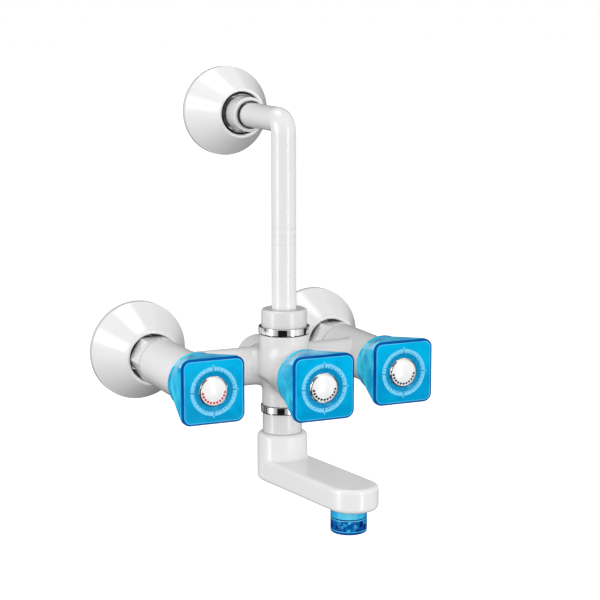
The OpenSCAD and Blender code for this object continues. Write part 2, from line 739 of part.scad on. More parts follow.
module turning_disc() color("ghostwhite") translate([0, 0, turning_disc_z]) difference() {
    cylinder(r = foot_r, h = disc_t);
    ports();
    translate([-tongue_w / 2 - fit_gap, -tongue_l / 2 - fit_gap, disc_t - tongue_h - fit_gap])
        cube([tongue_w + 2 * fit_gap, tongue_l + 2 * fit_gap, tongue_h + 1]);
}

// toothed outline of the spline, grown by a clearance
module spline_outline(grow = 0) {
    step = 180 / spline_teeth;
    polygon([for (i = [0 : 2 * spline_teeth - 1])
        (spline_r + grow - (i % 2) * spline_d) * [cos(i * step), sin(i * step)]]);
}

// spindle with its drive foot and tongue, splined end and screw hole
module spindle(foot_at) color("silver") difference() {
    union() {
        translate([-tongue_w / 2, -tongue_l / 2, foot_at - tongue_h])
            cube([tongue_w, tongue_l, tongue_h + 1]);
        translate([0, 0, foot_at]) intersection() {
            cylinder(r = foot_r, h = foot_t);
            translate([-foot_w / 2, -foot_r, 0]) cube([foot_w, 2 * foot_r, foot_t]);
        }
        translate([0, 0, foot_at]) cylinder(r = spindle_r, h = spline_z - foot_at);
        translate([0, 0, foot_at]) linear_extrude(spindle_front - foot_at) spline_outline();
    }
    translate([0, 0, spindle_front - screw_depth]) cylinder(r = screw_r + fit_gap, h = screw_depth + 1);
}

// hollow plug that closes one quarter of its wall: riser or spout
module diverter_plug() color("white") from_wall(0, divert_front + plug_back) difference() {
    land = 3;
    rod(plug_r, plug_l, 0.3);
    translate([0, 0, -1]) cylinder(r = plug_r - plug_wall, h = plug_l - plug_wall + 1);
    translate([-plug_r - 1, -plug_r - 1, land])
        cube([2 * plug_r + 2, plug_r + 1 + plug_r * cos(plug_shut / 2), plug_l - plug_wall - 2 * land]);
    translate([-tongue_w / 2 - fit_gap, -tongue_l / 2 - fit_gap, plug_l - tongue_h - fit_gap])
        cube([tongue_w + 2 * fit_gap, tongue_l + 2 * fit_gap, tongue_h + 1]);
}

// one cross-section of the knob: a square of half side h with corner radius c
function section(z, h, c) = [for (q = [0 : 3], i = [0 : section_n - 1])
    let (a = 90 * (q + (i + 0.5) / section_n), m = 90 * q + 45)
    [sqrt(2) * (h - c) * cos(m) + c * cos(a), sqrt(2) * (h - c) * sin(m) + c * sin(a), z]];

// solid lofted through a list of cross-sections
module loft(sections) {
    n = len(sections[0]);
    last = len(sections) - 1;
    sides = [for (k = [0 : last - 1], i = [0 : n - 1])
        [k * n + i, (k + 1) * n + i, (k + 1) * n + (i + 1) % n, k * n + (i + 1) % n]];
    back = [for (i = [0 : n - 1]) i];
    front = [for (i = [n - 1 : -1 : 0]) last * n + i];
    polyhedron([for (s = sections) each s], concat([back], sides, [front]));
}

// round at the back, square with rounded corners and edges at the front
module knob_outside() {
    half = knob_w / 2;
    flare_z = knob_gap + skirt_l;
    plate_back = plate_front - plate_t;
    loft(concat(
        [section(knob_gap, knob_back_r - edge, knob_back_r - edge)],
        [section(knob_gap + edge, knob_back_r, knob_back_r)],
        [section(flare_z, knob_back_r, knob_back_r)],
        [section(plate_back, half, knob_corner_r)],
        [for (a = [0 : 30 : 90]) section(plate_front - plate_round * (1 - sin(a)),
            half - plate_round * (1 - cos(a)), knob_corner_r - plate_round * (1 - cos(a)))]));
}

// raised ring in four quarters on the front plate
module dial() translate([0, 0, plate_front - 0.3]) difference() {
    ring(dial_r, dial_r - dial_w, dial_h + 0.3, 0.2);
    for (a = [0, 90]) rotate([0, 0, a])
        translate([-dial_r - 1, -dial_gap / 2, -1]) cube([2 * dial_r + 2, dial_gap, dial_h + 2]);
}

module knob() color("deepskyblue") {
    difference() {
        union() {
            knob_outside();
            dial();
        }
        translate([0, 0, knob_gap - 1]) cylinder(r = knob_hollow_r, h = knob_hollow_d + 1);
        translate([0, 0, bush_z - 1]) cylinder(r = bush_r + fit_gap, h = bush_l + 1);
        translate([0, 0, bush_z]) cylinder(r = screw_head_r + 0.8, h = plate_front - bush_z);
        translate([0, 0, recess_z]) cylinder(r = rim_r + fit_gap, h = cap_recess + 1);
        translate([0, 0, plate_front - dish_d])
            cylinder(r1 = rim_r + fit_gap, r2 = dial_r - dial_w - 0.2, h = dish_d + 0.001);
    }
}

module knob_bush() color("gainsboro") translate([0, 0, bush_z]) difference() {
    rod(bush_r, bush_l, 0.3);
    translate([0, 0, -1]) linear_extrude(socket_front - bush_z + 1) spline_outline(fit_gap);
    hole(screw_r + free_gap, bush_l);
}

// pan-head screw with a cross slot
module knob_screw() color("silver") translate([0, 0, bush_z + bush_l]) difference() {
    union() {
        rod(screw_head_r, screw_head_h, 0.5);
        translate([0, 0, -screw_l]) cylinder(r = screw_r, h = screw_l + 1);
    }
    for (a = [0, 90]) rotate([0, 0, a]) translate([-2, -0.4, screw_head_h - 1.2]) cube([4, 0.8, 2]);
}

module cap_rim() color("silver") translate([0, 0, recess_z])
    ring(rim_r, cap_r + fit_gap, cap_recess + cap_rim_proud, 0.25);

// domed cap on a peg
module cap() color("white") rotate_extrude() {
    crown = (cap_r * cap_r + cap_dome * cap_dome) / (2 * cap_dome);
    top = plate_front + cap_proud;
    translate([0, recess_z]) square([cap_r, top - cap_dome - recess_z]);
    translate([0, recess_z - cap_peg_l]) square([cap_peg_r, cap_peg_l + 1]);
    intersection() {
        translate([0, top - crown]) circle(r = crown, $fn = 128);
        translate([0, top - cap_dome]) square([cap_r, cap_dome + 1]);
    }
}

body();
from_wall(hot_x, 0) union_nut();  // hot_union_nut
from_wall(hot_x, 0) tailpiece();  // hot_tailpiece
from_wall(hot_x, 0) union_washer();  // hot_union_washer
from_wall(hot_x, 0) inlet_connector();  // hot_inlet_connector
from_wall(cold_x, 0) union_nut();  // cold_union_nut
from_wall(cold_x, 0) tailpiece();  // cold_tailpiece
from_wall(cold_x, 0) union_washer();  // cold_union_washer
from_wall(cold_x, 0) inlet_connector();  // cold_inlet_connector
from_wall(hot_x, 0) inlet_flange();  // hot_flange
from_wall(cold_x, 0) inlet_flange();  // cold_flange
from_wall(0, 0, riser_height) top_flange();  // riser_flange
upper_ring();
riser_nut();
riser_seal();
riser_pipe();
riser_trim_ring();
riser_coupling();
riser_washer();
riser_lock_nut();
riser_wall_nipple();
lower_ring();
spout_neck();
spout_o_rings();
spout_clip();
spout();
aerator_housing();
flow_straightener();
aerator_washer();
from_wall(hot_x, leg_front) headwork();  // hot_headwork
from_wall(hot_x, leg_front) seat_seal();  // hot_seat_seal
from_wall(hot_x, leg_front) fixed_disc();  // hot_fixed_disc
from_wall(hot_x, leg_front) turning_disc();  // hot_turning_disc
from_wall(cold_x, leg_front) headwork();  // cold_headwork
from_wall(cold_x, leg_front) seat_seal();  // cold_seat_seal
from_wall(cold_x, leg_front) fixed_disc();  // cold_fixed_disc
from_wall(cold_x, leg_front) turning_disc();  // cold_turning_disc
from_wall(hot_x, leg_front) spindle(foot_z);  // hot_spindle
from_wall(cold_x, leg_front) spindle(foot_z);  // cold_spindle
from_wall(0, divert_front) spindle(divert_foot_z);  // diverter_spindle
diverter_bonnet();
diverter_plug();
from_wall(hot_x, leg_front) knob_bush();  // hot_knob_bush
from_wall(cold_x, leg_front) knob_bush();  // cold_knob_bush
from_wall(0, divert_front) knob_bush();  // diverter_knob_bush
from_wall(hot_x, leg_front) knob();  // hot_knob
from_wall(cold_x, leg_front) knob();  // cold_knob
from_wall(0, divert_front) knob();  // diverter_knob
from_wall(hot_x, leg_front) knob_screw();  // hot_knob_screw
from_wall(cold_x, leg_front) knob_screw();  // cold_knob_screw
from_wall(0, divert_front) knob_screw();  // diverter_knob_screw
from_wall(hot_x, leg_front) cap_rim();  // hot_cap_rim
from_wall(cold_x, leg_front) cap_rim();  // cold_cap_rim
from_wall(0, divert_front) cap_rim();  // diverter_cap_rim
from_wall(hot_x, leg_front) cap();  // hot_cap
from_wall(cold_x, leg_front) cap();  // cold_cap
from_wall(0, divert_front) cap();  // diverter_cap
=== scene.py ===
"""Looks of a wall mixer with three square crystal knobs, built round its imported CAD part.

Lengths here are metres in the part's frame: +Z up, the wall at y = 0, the mixer in front of it
towards -Y. Names that end in _MM hold millimetres, as in the part's source.
"""

import math

import bpy
import numpy as np
from mathutils import Matrix, Vector

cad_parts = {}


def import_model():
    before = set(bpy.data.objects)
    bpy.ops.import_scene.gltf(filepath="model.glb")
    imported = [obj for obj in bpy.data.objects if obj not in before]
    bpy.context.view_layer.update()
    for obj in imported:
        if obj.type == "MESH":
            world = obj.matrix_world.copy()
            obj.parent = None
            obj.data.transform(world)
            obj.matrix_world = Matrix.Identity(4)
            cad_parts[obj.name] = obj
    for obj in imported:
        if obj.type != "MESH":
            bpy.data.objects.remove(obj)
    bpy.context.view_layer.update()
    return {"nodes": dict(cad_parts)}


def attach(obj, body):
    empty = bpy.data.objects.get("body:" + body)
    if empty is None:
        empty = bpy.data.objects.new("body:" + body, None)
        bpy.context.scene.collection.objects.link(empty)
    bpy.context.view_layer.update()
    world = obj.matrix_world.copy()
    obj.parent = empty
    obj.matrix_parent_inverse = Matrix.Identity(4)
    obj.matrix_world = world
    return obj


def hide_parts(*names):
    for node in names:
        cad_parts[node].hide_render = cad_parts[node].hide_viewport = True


MM = 0.001

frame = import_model()

# ---------------------------------------------------------------- sizes, as in the part's source
HOT_X_MM, COLD_X_MM = -75.0, 75.0
AXIS_OUT_MM, OUTLET_OUT_MM, TUBE_OUT_MM = 115.0, 111.5, 94.5
LEG_R_MM, LEG_BACK_MM, LEG_FRONT_MM = 18.1, 57.4, 126.5
BOSS_R_MM, BOSS_BACK_MM, BOSS_FRONT_MM = 17.5, 63.0, 149.4
TUBE_R_MM, BARREL_R_MM, BARREL_FOOT_MM, BARREL_TOP_MM = 14.35, 18.5, -2.0, 27.4
STUB_R_MM, STUB_BOTTOM_MM = 15.0, 27.2
TAIL_R_MM, TAIL_DEPTH_MM, LEG_BORE_R_MM, LEG_BORE_END_MM = 11.05, 14.6, 9.0, 81.5
SEAT_R_MM, SEAT_END_MM, CHAMBER_R_MM = 6.5, 90.0, 12.5
LEG_CHAMBER_MM, BOSS_CHAMBER_MM, TUBE_BORE_R_MM = 84.5, 102.7, 8.0
RISER_SOCKET_R_MM, RISER_SOCKET_MM, SPOUT_SOCKET_R_MM, SPOUT_SOCKET_MM = 13.0, 14.0, 12.05, -14.8

KNOB_HALF_MM, KNOB_CORNER_MM, KNOB_BACK_R_MM = 23.75, 6.5, 21.75
KNOB_BACK_MM, SKIRT_END_MM, PLATE_BACK_MM, PLATE_FRONT_MM = 1.2, 6.2, 31.0, 36.0
PLATE_ROUND_MM, EDGE_BAND_MM, EDGE_SIDE_MM = 1.2, 1.5, 2.1
DIAL_OUT_MM, DIAL_IN_MM, DIAL_H_MM, DIAL_GAP_MM = 17.6, 14.8, 0.5, 0.9
RECESS_R_MM, RECESS_Z_MM, DISH_D_MM = 10.8, 32.6, 1.2
HOLLOW_R_MM, HOLLOW_Z_MM, BUSH_R_MM, BUSH_TOP_MM, SCREW_HOLE_R_MM = 16.0, 12.0, 7.05, 27.0, 4.4
CAP_R_MM, CAP_TOP_MM, CAP_DOME_MM = 9.9, 37.4, 1.5
RIM_R_MM, RIM_BORE_MM, RIM_TOP_MM = 10.7, 9.95, 36.6

UPPER_RING_R_MM, UPPER_RING_BORE_MM, UPPER_RING_H_MM = 19.0, 16.9, 5.5
LOWER_RING_R_MM, LOWER_RING_BORE_MM, LOWER_RING_H_MM = 16.1, 12.05, 5.4
SPOUT_SWING_DEG, SPOUT_REACH_MM, SPOUT_BOTTOM_MM = 8.4, 88.5, -84.2
AERATOR_R_MM, AERATOR_H_MM, AERATOR_BAND_MM, AERATOR_ROUND_MM = 13.05, 18.1, 7.4, 1.5
AERATOR_THREAD_R_MM, AERATOR_THREAD_L_MM = 11.4, 5.6
MOUTH_R_MM, MOUTH_DEPTH_MM, STRAIGHTENER_R_MM = 10.5, 4.2, 11.15

KNOBS = {  # axis x, distance from the wall to the face behind the knob, ink of the cap's dots
    "hot": (HOT_X_MM, LEG_FRONT_MM, (0.55, 0.008, 0.03)),
    "diverter": (0.0, BOSS_FRONT_MM, (0.004, 0.004, 0.005)),
    "cold": (COLD_X_MM, LEG_FRONT_MM, (0.006, 0.01, 0.09)),
}


# ---------------------------------------------------------------- node helpers
def grey(level):
    """A neutral colour."""
    return (level, level, level)


class Tree:
    """A node tree with short calls that add nodes and link them."""

    def __init__(self, owner):
        owner.use_nodes = True
        self.nodes = owner.node_tree.nodes
        self.links = owner.node_tree.links

    def node(self, kind, inputs=(), **settings):
        """A node with its inputs linked where they are sockets and set where they are values."""
        made = self.nodes.new(kind)
        for name, value in settings.items():
            setattr(made, name, value)
        for key, value in dict(inputs).items():
            if isinstance(value, bpy.types.NodeSocket):
                self.links.new(value, made.inputs[key])
            else:
                made.inputs[key].default_value = value
        return made

    def math(self, operation, a, b):
        """Two values added, multiplied or compared."""
        return self.node("ShaderNodeMath", {0: a, 1: b}, operation=operation).outputs["Value"]

    def spread(self, source, low, high, start=0.3, end=0.7):
        """A value mapped from start..end to low..high."""
        inputs = {"Value": source, "From Min": start, "From Max": end, "To Min": low, "To Max": high}
        return self.node("ShaderNodeMapRange", inputs).outputs["Result"]

    def ramp(self, source, *stops):
        """A colour ramp through (position, colour) stops."""
        made = self.node("ShaderNodeValToRGB", {"Fac": source})
        band = made.color_ramp
        while len(band.elements) < len(stops):
            band.elements.new(0.5)
        for element, (position, colour) in zip(band.elements, stops):
            element.position, element.color = position, (*colour, 1)
        return made.outputs["Color"]

    def seen(self):
        """One on rays from the camera, off a gloss or through clear plastic, and zero on others."""
        path = self.node("ShaderNodeLightPath").outputs
        straight = self.math("MAXIMUM", path["Is Camera Ray"], path["Is Glossy Ray"])
        return self.math("MAXIMUM", straight, path["Is Transmission Ray"])


class Shade(Tree):
    """A material with a Principled shader and short calls for the nodes that feed it."""

    def __init__(self, name):
        self.material = bpy.data.materials.new(name)
        super().__init__(self.material)
        self.bsdf = self.nodes["Principled BSDF"]

    def set(self, **values):
        """Sets sockets of the shader; an underscore stands for the space in a socket's name."""
        for name, value in values.items():
            socket = self.bsdf.inputs[name.replace("_", " ")]
            socket.default_value = (*value, 1) if isinstance(value, tuple) else value

    def feed(self, socket_name, source):
        self.links.new(source, self.bsdf.inputs[socket_name])

    def place(self):
        """Object coordinates, in metres."""
        return self.node("ShaderNodeTexCoord").outputs["Object"]

    def along(self, axis):
        """One of the object coordinates, in metres."""
        return self.node("ShaderNodeSeparateXYZ", {"Vector": self.place()}).outputs[axis]

    def noise(self, scale, detail=3.0, roughness=0.5):
        inputs = {"Vector": self.place(), "Scale": scale, "Detail": detail, "Roughness": roughness}
        return self.node("ShaderNodeTexNoise", inputs).outputs["Fac"]

    def times(self, colour, other):
        """Two colours multiplied; sockets 6 and 7 are the colour inputs of a Mix node."""
        mixed = self.node("ShaderNodeMix", {0: 1.0, 6: colour, 7: other}, data_type="RGBA",
                          blend_type="MULTIPLY")
        return mixed.outputs[2]

    def tinted(self, colour, *stops):
        """A colour multiplied by a ramp that runs from square on (0) to glancing (1)."""
        facing = self.node("ShaderNodeLayerWeight", {"Blend": 0.5}).outputs["Facing"]
        return self.times(colour, self.ramp(facing, *stops))

    def dimmed(self, colour, levels):
        """A colour multiplied by greys, given as (facing, level) stops: painted shade at glancing edges.
        """
        return self.tinted(colour, *((at, grey(level)) for at, level in levels))

    def bump(self, source, strength, distance):
        inputs = {"Height": source, "Strength": strength, "Distance": distance}
        self.feed("Normal", self.node("ShaderNodeBump", inputs).outputs["Normal"])


# ---------------------------------------------------------------- materials
PLASTIC_IOR, ACRYLIC_IOR = 1.5, 1.49
FLOW_SCALE, FLOW_DEPTH = 14.0, 0.015  # flow marks of the moulded white plastic
PAINTED_WALL_SHADE_LEVEL = 0.62  # painted shade: tone of a flange where it stands on the wall
# painted shade at the glancing edges of each white plastic, as (facing, level) stops
PLASTIC_RIMS = ((0.4, 1.0), (0.55, 0.93), (0.72, 0.8), (1.0, 0.5))
BODY_RIMS = ((0.4, 1.0), (0.55, 0.94), (0.72, 0.84), (1.0, 0.5))
PIPE_RIMS = ((0.6, 1.0), (0.8, 0.89), (0.92, 0.7), (1.0, 0.35))
SPOUT_RIMS = ((0.5, 1.0), (0.84, 0.95), (0.93, 0.72), (1.0, 0.35))
FLANGE_RIMS = ((0.6, 1.0), (0.75, 0.92), (0.84, 0.76), (0.92, 0.6), (1.0, 0.5))
FLANGE_PAINTED_WALL_SHADE = 0.0055  # width in metres of the band of painted shade along the wall


def moulded_skin(m, gloss):
    """Even gloss and slight ripple of moulded white plastic."""
    m.feed("Roughness", m.spread(m.noise(60.0, 2.0), gloss, gloss + 0.04))
    m.bump(m.noise(140.0, 1.0), 0.012, 0.0003)


def white_plastic(name, tone, gloss=0.15, rims=PLASTIC_RIMS, foot=0.0):
    """Glossy white plastic with faint flow marks, painted shade at its glancing edges and, where foot is
    given, painted shade along the wall.
    """
    m = Shade(name)
    m.set(IOR=PLASTIC_IOR)
    flow = m.ramp(m.noise(FLOW_SCALE), (0.3, grey(tone - FLOW_DEPTH)), (0.7, grey(tone)))
    shaded = m.dimmed(flow, rims)
    # painted shade: where foot is given, darker towards the wall over that width
    if foot:
        shaded = m.times(shaded, m.spread(m.along("Y"), PAINTED_WALL_SHADE_LEVEL, 1.0, 0.0, -foot))
    m.feed("Base Color", shaded)
    moulded_skin(m, gloss)
    return m.material


def body_white():
    """White plastic of the moulded body with a soft gloss and painted light: brighter towards the hot
    leg.
    """
    m = Shade("body_white")
    m.set(IOR=PLASTIC_IOR, Specular_IOR_Level=0.35)
    drift = m.spread(m.noise(FLOW_SCALE), -0.02, 0.02)
    # painted light: the body is lighter towards the hot leg
    across = m.spread(m.along("X"), 0.0, 1.0, -0.06, 0.06)
    tone = m.ramp(m.math("ADD", across, drift), (0.0, grey(0.95)), (0.3, grey(0.77)),
                  (0.75, grey(0.73)), (1.0, grey(0.77)))
    m.feed("Base Color", m.dimmed(tone, BODY_RIMS))
    moulded_skin(m, 0.22)
    return m.material


def chrome():
    """Bright chrome plating with a faint haze and the ripple of the polished metal under it."""
    m = Shade("chrome")
    m.set(Metallic=1.0)
    m.feed("Base Color", m.ramp(m.noise(60.0), (0.3, (0.84, 0.845, 0.85)), (0.7, (0.9, 0.9, 0.905))))
    m.feed("Roughness", m.spread(m.noise(200.0), 0.04, 0.08))
    m.bump(m.noise(300.0, 2.0), 0.01, 0.0002)
    return m.material


def shaded_chrome(name, dark, light):
    """Chrome of parts in a flange, darkened with painted shade and a painted dark reflection of the
    flange round them, and patchy like water marks.
    """
    m = Shade(name)
    m.set(Metallic=1.0)
    m.feed("Base Color", m.ramp(m.noise(200.0, 4.0), (0.3, grey(dark)), (0.7, grey(light))))
    m.feed("Roughness", m.spread(m.noise(300.0), 0.12, 0.24))
    m.bump(m.noise(500.0, 2.0), 0.04, 0.0002)
    return m.material


def nut_painted_reflection():
    """Chrome of the union nuts, duller than the trim rings, pale and mostly diffuse: a painted reflection
    of the white flange lip round them.
    """
    m = Shade("nut_painted_reflection")
    m.set(Metallic=0.2)
    haze = m.ramp(m.noise(150.0, 4.0), (0.3, (0.84, 0.845, 0.85)), (0.7, (0.95, 0.95, 0.955)))
    m.feed("Base Color", haze)
    m.feed("Roughness", m.spread(m.noise(300.0), 0.16, 0.3))
    m.bump(m.noise(500.0, 2.0), 0.04, 0.0002)
    return m.material


def metal(name, light, dark, roughness):
    """Machined metal with fine turning marks."""
    grain = 500.0
    m = Shade(name)
    m.set(Metallic=1.0)
    m.feed("Base Color", m.ramp(m.noise(90.0, 4.0), (0.25, dark), (0.75, light)))
    m.feed("Roughness", m.spread(m.noise(grain), roughness - 0.08, roughness + 0.08))
    m.bump(m.noise(grain, 4.0), 0.12, 0.0002)
    return m.material


def dull(name, light, dark, roughness, bump):
    """Plain rubber, ceramic or inner plastic with a fine grain."""
    grain = 300.0
    m = Shade(name)
    m.feed("Base Color", m.ramp(m.noise(70.0, 4.0), (0.3, dark), (0.7, light)))
    m.feed("Roughness", m.spread(m.noise(grain), roughness - 0.06, roughness + 0.06))
    m.bump(m.noise(grain, 5.0), bump, 0.0002)
    return m.material


def crystal(name, light, dark, gloss, scale=45.0, detail=2.0, roughness=0.1):
    """Deeply tinted acrylic with clouds in its depth of colour."""
    m = Shade(name)
    m.set(IOR=ACRYLIC_IOR, Specular_IOR_Level=gloss)
    depth = m.ramp(m.noise(scale, detail), (0.32, dark), (0.68, light))
    m.feed("Base Color", m.tinted(depth, (0.8, grey(1.0)), (0.95, (0.3, 0.55, 0.7))))
    m.feed("Roughness", m.spread(m.noise(250.0), roughness - 0.03, roughness + 0.03))
    m.bump(m.noise(160.0, 2.0), 0.02, 0.0004)
    return m.material


def face_crystal(name, high, low):
    """Square front of a knob: tinted acrylic with soft clouds and painted light, brighter towards the
    top.
    """
    m = Shade(name)
    m.set(IOR=ACRYLIC_IOR, Specular_IOR_Level=0.01)
    # painted light: lighter towards the top of the face
    climb = m.spread(m.along("Z"), 0.0, 0.8, -KNOB_HALF_MM * MM, KNOB_HALF_MM * MM)
    clouds = m.spread(m.noise(75.0, 4.0, 0.6), -0.3, 0.5)
    m.feed("Base Color", m.ramp(m.math("ADD", climb, clouds), (0.1, low), (0.9, high)))
    m.feed("Roughness", m.spread(m.noise(250.0), 0.04, 0.1))
    m.bump(m.noise(160.0, 2.0), 0.02, 0.0004)
    return m.material


def band_crystal():
    """Upper band of the aerator, pale where the light passes straight through and deep at its sides."""
    m = Shade("aerator_band")
    m.set(IOR=ACRYLIC_IOR, Specular_IOR_Level=0.15)
    glow = m.ramp(m.noise(90.0), (0.3, (0.03, 0.52, 0.82)), (0.7, (0.17, 0.74, 0.96)))
    m.feed("Base Color", m.tinted(glow, (0.08, grey(1.0)), (0.35, (0.25, 0.78, 0.92)),
                                  (0.7, (0.02, 0.35, 0.62))))
    m.feed("Roughness", m.spread(m.noise(250.0), 0.15, 0.25))
    return m.material


def cup_crystal():
    """Blue cup of the aerator, in which its ribs and screens show as dark and light cells."""
    m = Shade("aerator_cup")
    m.set(IOR=ACRYLIC_IOR, Specular_IOR_Level=0.12, Roughness=0.15)
    inputs = {"Vector": m.place(), "Scale": 380.0, "Randomness": 0.9}
    cells = m.node("ShaderNodeTexVoronoi", inputs, feature="F1", distance="CHEBYCHEV")
    tint = m.node("ShaderNodeSeparateColor", {"Color": cells.outputs["Color"]}).outputs["Red"]
    grain = m.spread(m.noise(900.0), -0.12, 0.12)
    blues = m.ramp(m.math("ADD", tint, grain), (0.15, (0.0, 0.015, 0.12)), (0.45, (0.0, 0.06, 0.3)),
                   (0.72, (0.0, 0.15, 0.46)), (0.95, (0.04, 0.5, 0.8)))
    m.feed("Base Color", m.tinted(blues, (0.25, grey(1.0)), (0.6, (0.6, 0.6, 0.9))))
    m.bump(tint, 0.1, 0.0002)
    return m.material


def print_ink(name, colour):
    """Printed dot with a slightly uneven ink."""
    m = Shade(name)
    thin = tuple(min(1.0, c * 1.35 + 0.004) for c in colour)
    m.feed("Base Color", m.ramp(m.noise(900.0, 2.0), (0.3, colour), (0.7, thin)))
    m.feed("Roughness", m.spread(m.noise(600.0), 0.3, 0.45))
    return m.material


WHITE = white_plastic("white_plastic", 0.82)
PIPE_WHITE = white_plastic("pipe_white", 0.82, 0.15, PIPE_RIMS)
SPOUT_WHITE = white_plastic("spout_white", 0.86, 0.22, SPOUT_RIMS)
# the three flange whites are lit and shaded copies of one plastic, as painted light: the riser's
# lightest, the cold one's darkest
FLANGE_WHITE = white_plastic("flange_white", 0.85, 0.17, FLANGE_RIMS, FLANGE_PAINTED_WALL_SHADE)
RISER_FLANGE_LIT_WHITE = white_plastic("riser_flange_lit_white", 0.88, 0.17, FLANGE_RIMS, FLANGE_PAINTED_WALL_SHADE)
COLD_FLANGE_SHADED_WHITE = white_plastic("cold_flange_shaded_white", 0.82, 0.17, FLANGE_RIMS, FLANGE_PAINTED_WALL_SHADE)
NECK_WHITE = white_plastic("neck_white", 0.74, 0.22)
BODY_WHITE = body_white()
# painted shadow: the dark band on each leg where it meets its nut
GAP_SHADOW = dull("seam", (0.22, 0.22, 0.225), (0.15, 0.15, 0.155), 0.5, 0.02)
CHROME = chrome()
NUT_PAINTED_REFLECTION = nut_painted_reflection()
NICKEL = metal("nickel", (0.46, 0.46, 0.47), (0.33, 0.33, 0.34), 0.28)
SHADED_CHROME = shaded_chrome("shaded_chrome", 0.045, 0.2)
# painted dark reflection, on the riser's trim ring and on the chrome rings' chamfer and upper face
DARK_REFLECTION_CHROME = shaded_chrome("painted_dark_reflection_chrome", 0.01, 0.09)
BRASS = metal("brass", (0.78, 0.56, 0.25), (0.62, 0.42, 0.17), 0.28)
STEEL = metal("steel", (0.66, 0.66, 0.67), (0.5, 0.5, 0.52), 0.3)
RUBBER = dull("rubber", (0.03, 0.03, 0.032), (0.018, 0.018, 0.02), 0.7, 0.25)
CERAMIC = dull("ceramic", (0.82, 0.8, 0.75), (0.75, 0.73, 0.68), 0.35, 0.05)
INNER = dull("inner_plastic", (0.78, 0.79, 0.8), (0.7, 0.71, 0.73), 0.4, 0.08)
CAP_WHITE = dull("cap_white", grey(0.93), grey(0.89), 0.22, 0.02)
FACE_BLUE = face_crystal("knob_face", (0.0005, 0.47, 0.83), (0.0005, 0.32, 0.63))
# painted shade: the darker edge blue of a knob's edge band, rounding and side stands in for the dark that
# the plate's edges show
EDGE_BLUE = crystal("knob_edge", (0.0, 0.115, 0.42), (0.0, 0.065, 0.31), 0.015)
# painted highlight: the pale line just inside a knob's edge band; the aerator's pale lines take this blue
# too
LINE_BLUE = crystal("knob_line", (0.12, 0.6, 0.9), (0.03, 0.45, 0.8), 0.05, 120.0)
FLARE_BLUE = crystal("knob_flare", (0.06, 0.74, 1.0), (0.0, 0.34, 0.68), 0.015, 80.0, 4.0)
# painted highlight: the pale bands along the corners of a knob's flaring skirt
RIDGE_BLUE = crystal("knob_ridge", (0.3, 0.8, 1.0), (0.1, 0.6, 0.9), 0.02, 90.0)
DISH_BLUE = crystal("knob_dish", (0.0, 0.35, 0.67), (0.0, 0.24, 0.51), 0.08, 420.0, 4.0, 0.2)
DIAL_BLUE = crystal("knob_dial", (0.26, 0.72, 0.97), (0.1, 0.54, 0.87), 0.08, 900.0, 4.0, 0.3)
BAND_BLUE = band_crystal()
# painted shade: the aerator's groove and a thin band under its top edge take this dark blue
GROOVE_BLUE = crystal("aerator_groove", (0.0, 0.06, 0.24), (0.0, 0.03, 0.15), 0.05)
RIM_BLUE = crystal("aerator_edge", (0.0, 0.1, 0.4), (0.0, 0.05, 0.27), 0.1)
CUP_BLUE = cup_crystal()


# ---------------------------------------------------------------- mesh helpers
def make(name, points, faces, materials, body, replaced=(), marks=None, normals=None, sharp=35):
    """A shown piece from points and faces in metres, riding on a body and standing for CAD nodes."""
    mesh = bpy.data.meshes.new(name)
    mesh.from_pydata([tuple(p) for p in points], [], [tuple(int(i) for i in f) for f in faces])
    for material in materials:
        mesh.materials.append(material)
    if marks is not None:
        mesh.polygons.foreach_set("material_index", np.array(marks, np.int32))
    mesh.polygons.foreach_set("use_smooth", np.ones(len(mesh.polygons), bool))
    if normals is not None:
        mesh.normals_split_custom_set_from_vertices([tuple(n) for n in normals])
    else:
        mesh.set_sharp_from_angle(angle=math.radians(sharp))
    mesh.update()
    piece = bpy.data.objects.new(name, mesh)
    bpy.context.scene.collection.objects.link(piece)
    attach(piece, body)
    if replaced:
        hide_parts(*replaced)
    return piece


def grid_faces(rows, columns):
    """Quads between rows of points, each row a closed ring, the last row next to the first."""
    i, j = np.meshgrid(np.arange(rows), np.arange(columns), indexing="ij")
    here, beside = i * columns + j, i * columns + (j + 1) % columns
    over, over_beside = (i + 1) % rows * columns + j, (i + 1) % rows * columns + (j + 1) % columns
    return np.stack([here, beside, over_beside, over], -1).reshape(-1, 4)


def on_wall(points_mm, x_mm, out_mm):
    """Local points whose +Z points out from the wall, put in the part's frame in metres."""
    p = np.asarray(points_mm, float)
    return np.stack([p[:, 0] + x_mm, -(p[:, 2] + out_mm), p[:, 1]], 1) * MM


# ---------------------------------------------------------------- body with its moulded fillets
TUBE_FILLET_MM, BARREL_FILLET_MM, STUB_FILLET_MM, LEG_FILLET_MM = 4.0, 7.0, 4.0, 1.2
GRID_STEP_MM, GRID_LOW_MM, GRID_SIZE_MM = 0.9, (-95.0, 55.5, -29.0), (190.0, 96.0, 58.0)
GAP_SHADOW_MM = 1.9  # depth of the painted shadow line where each leg meets its nut


def rod(radial, along, r, start, end, rim):
    """Distance to a rod with rounded rims."""
    side = radial - (r - rim)
    ends = np.abs(along - (start + end) / 2) - ((end - start) / 2 - rim)
    outside = np.hypot(np.maximum(side, 0), np.maximum(ends, 0))
    return np.minimum(np.maximum(side, ends), 0) + outside - rim


def filleted(a, b, r):
    """Union of two solids with a fillet of radius r where they meet."""
    return np.maximum(r, np.minimum(a, b)) - np.hypot(np.maximum(r - a, 0), np.maximum(r - b, 0))


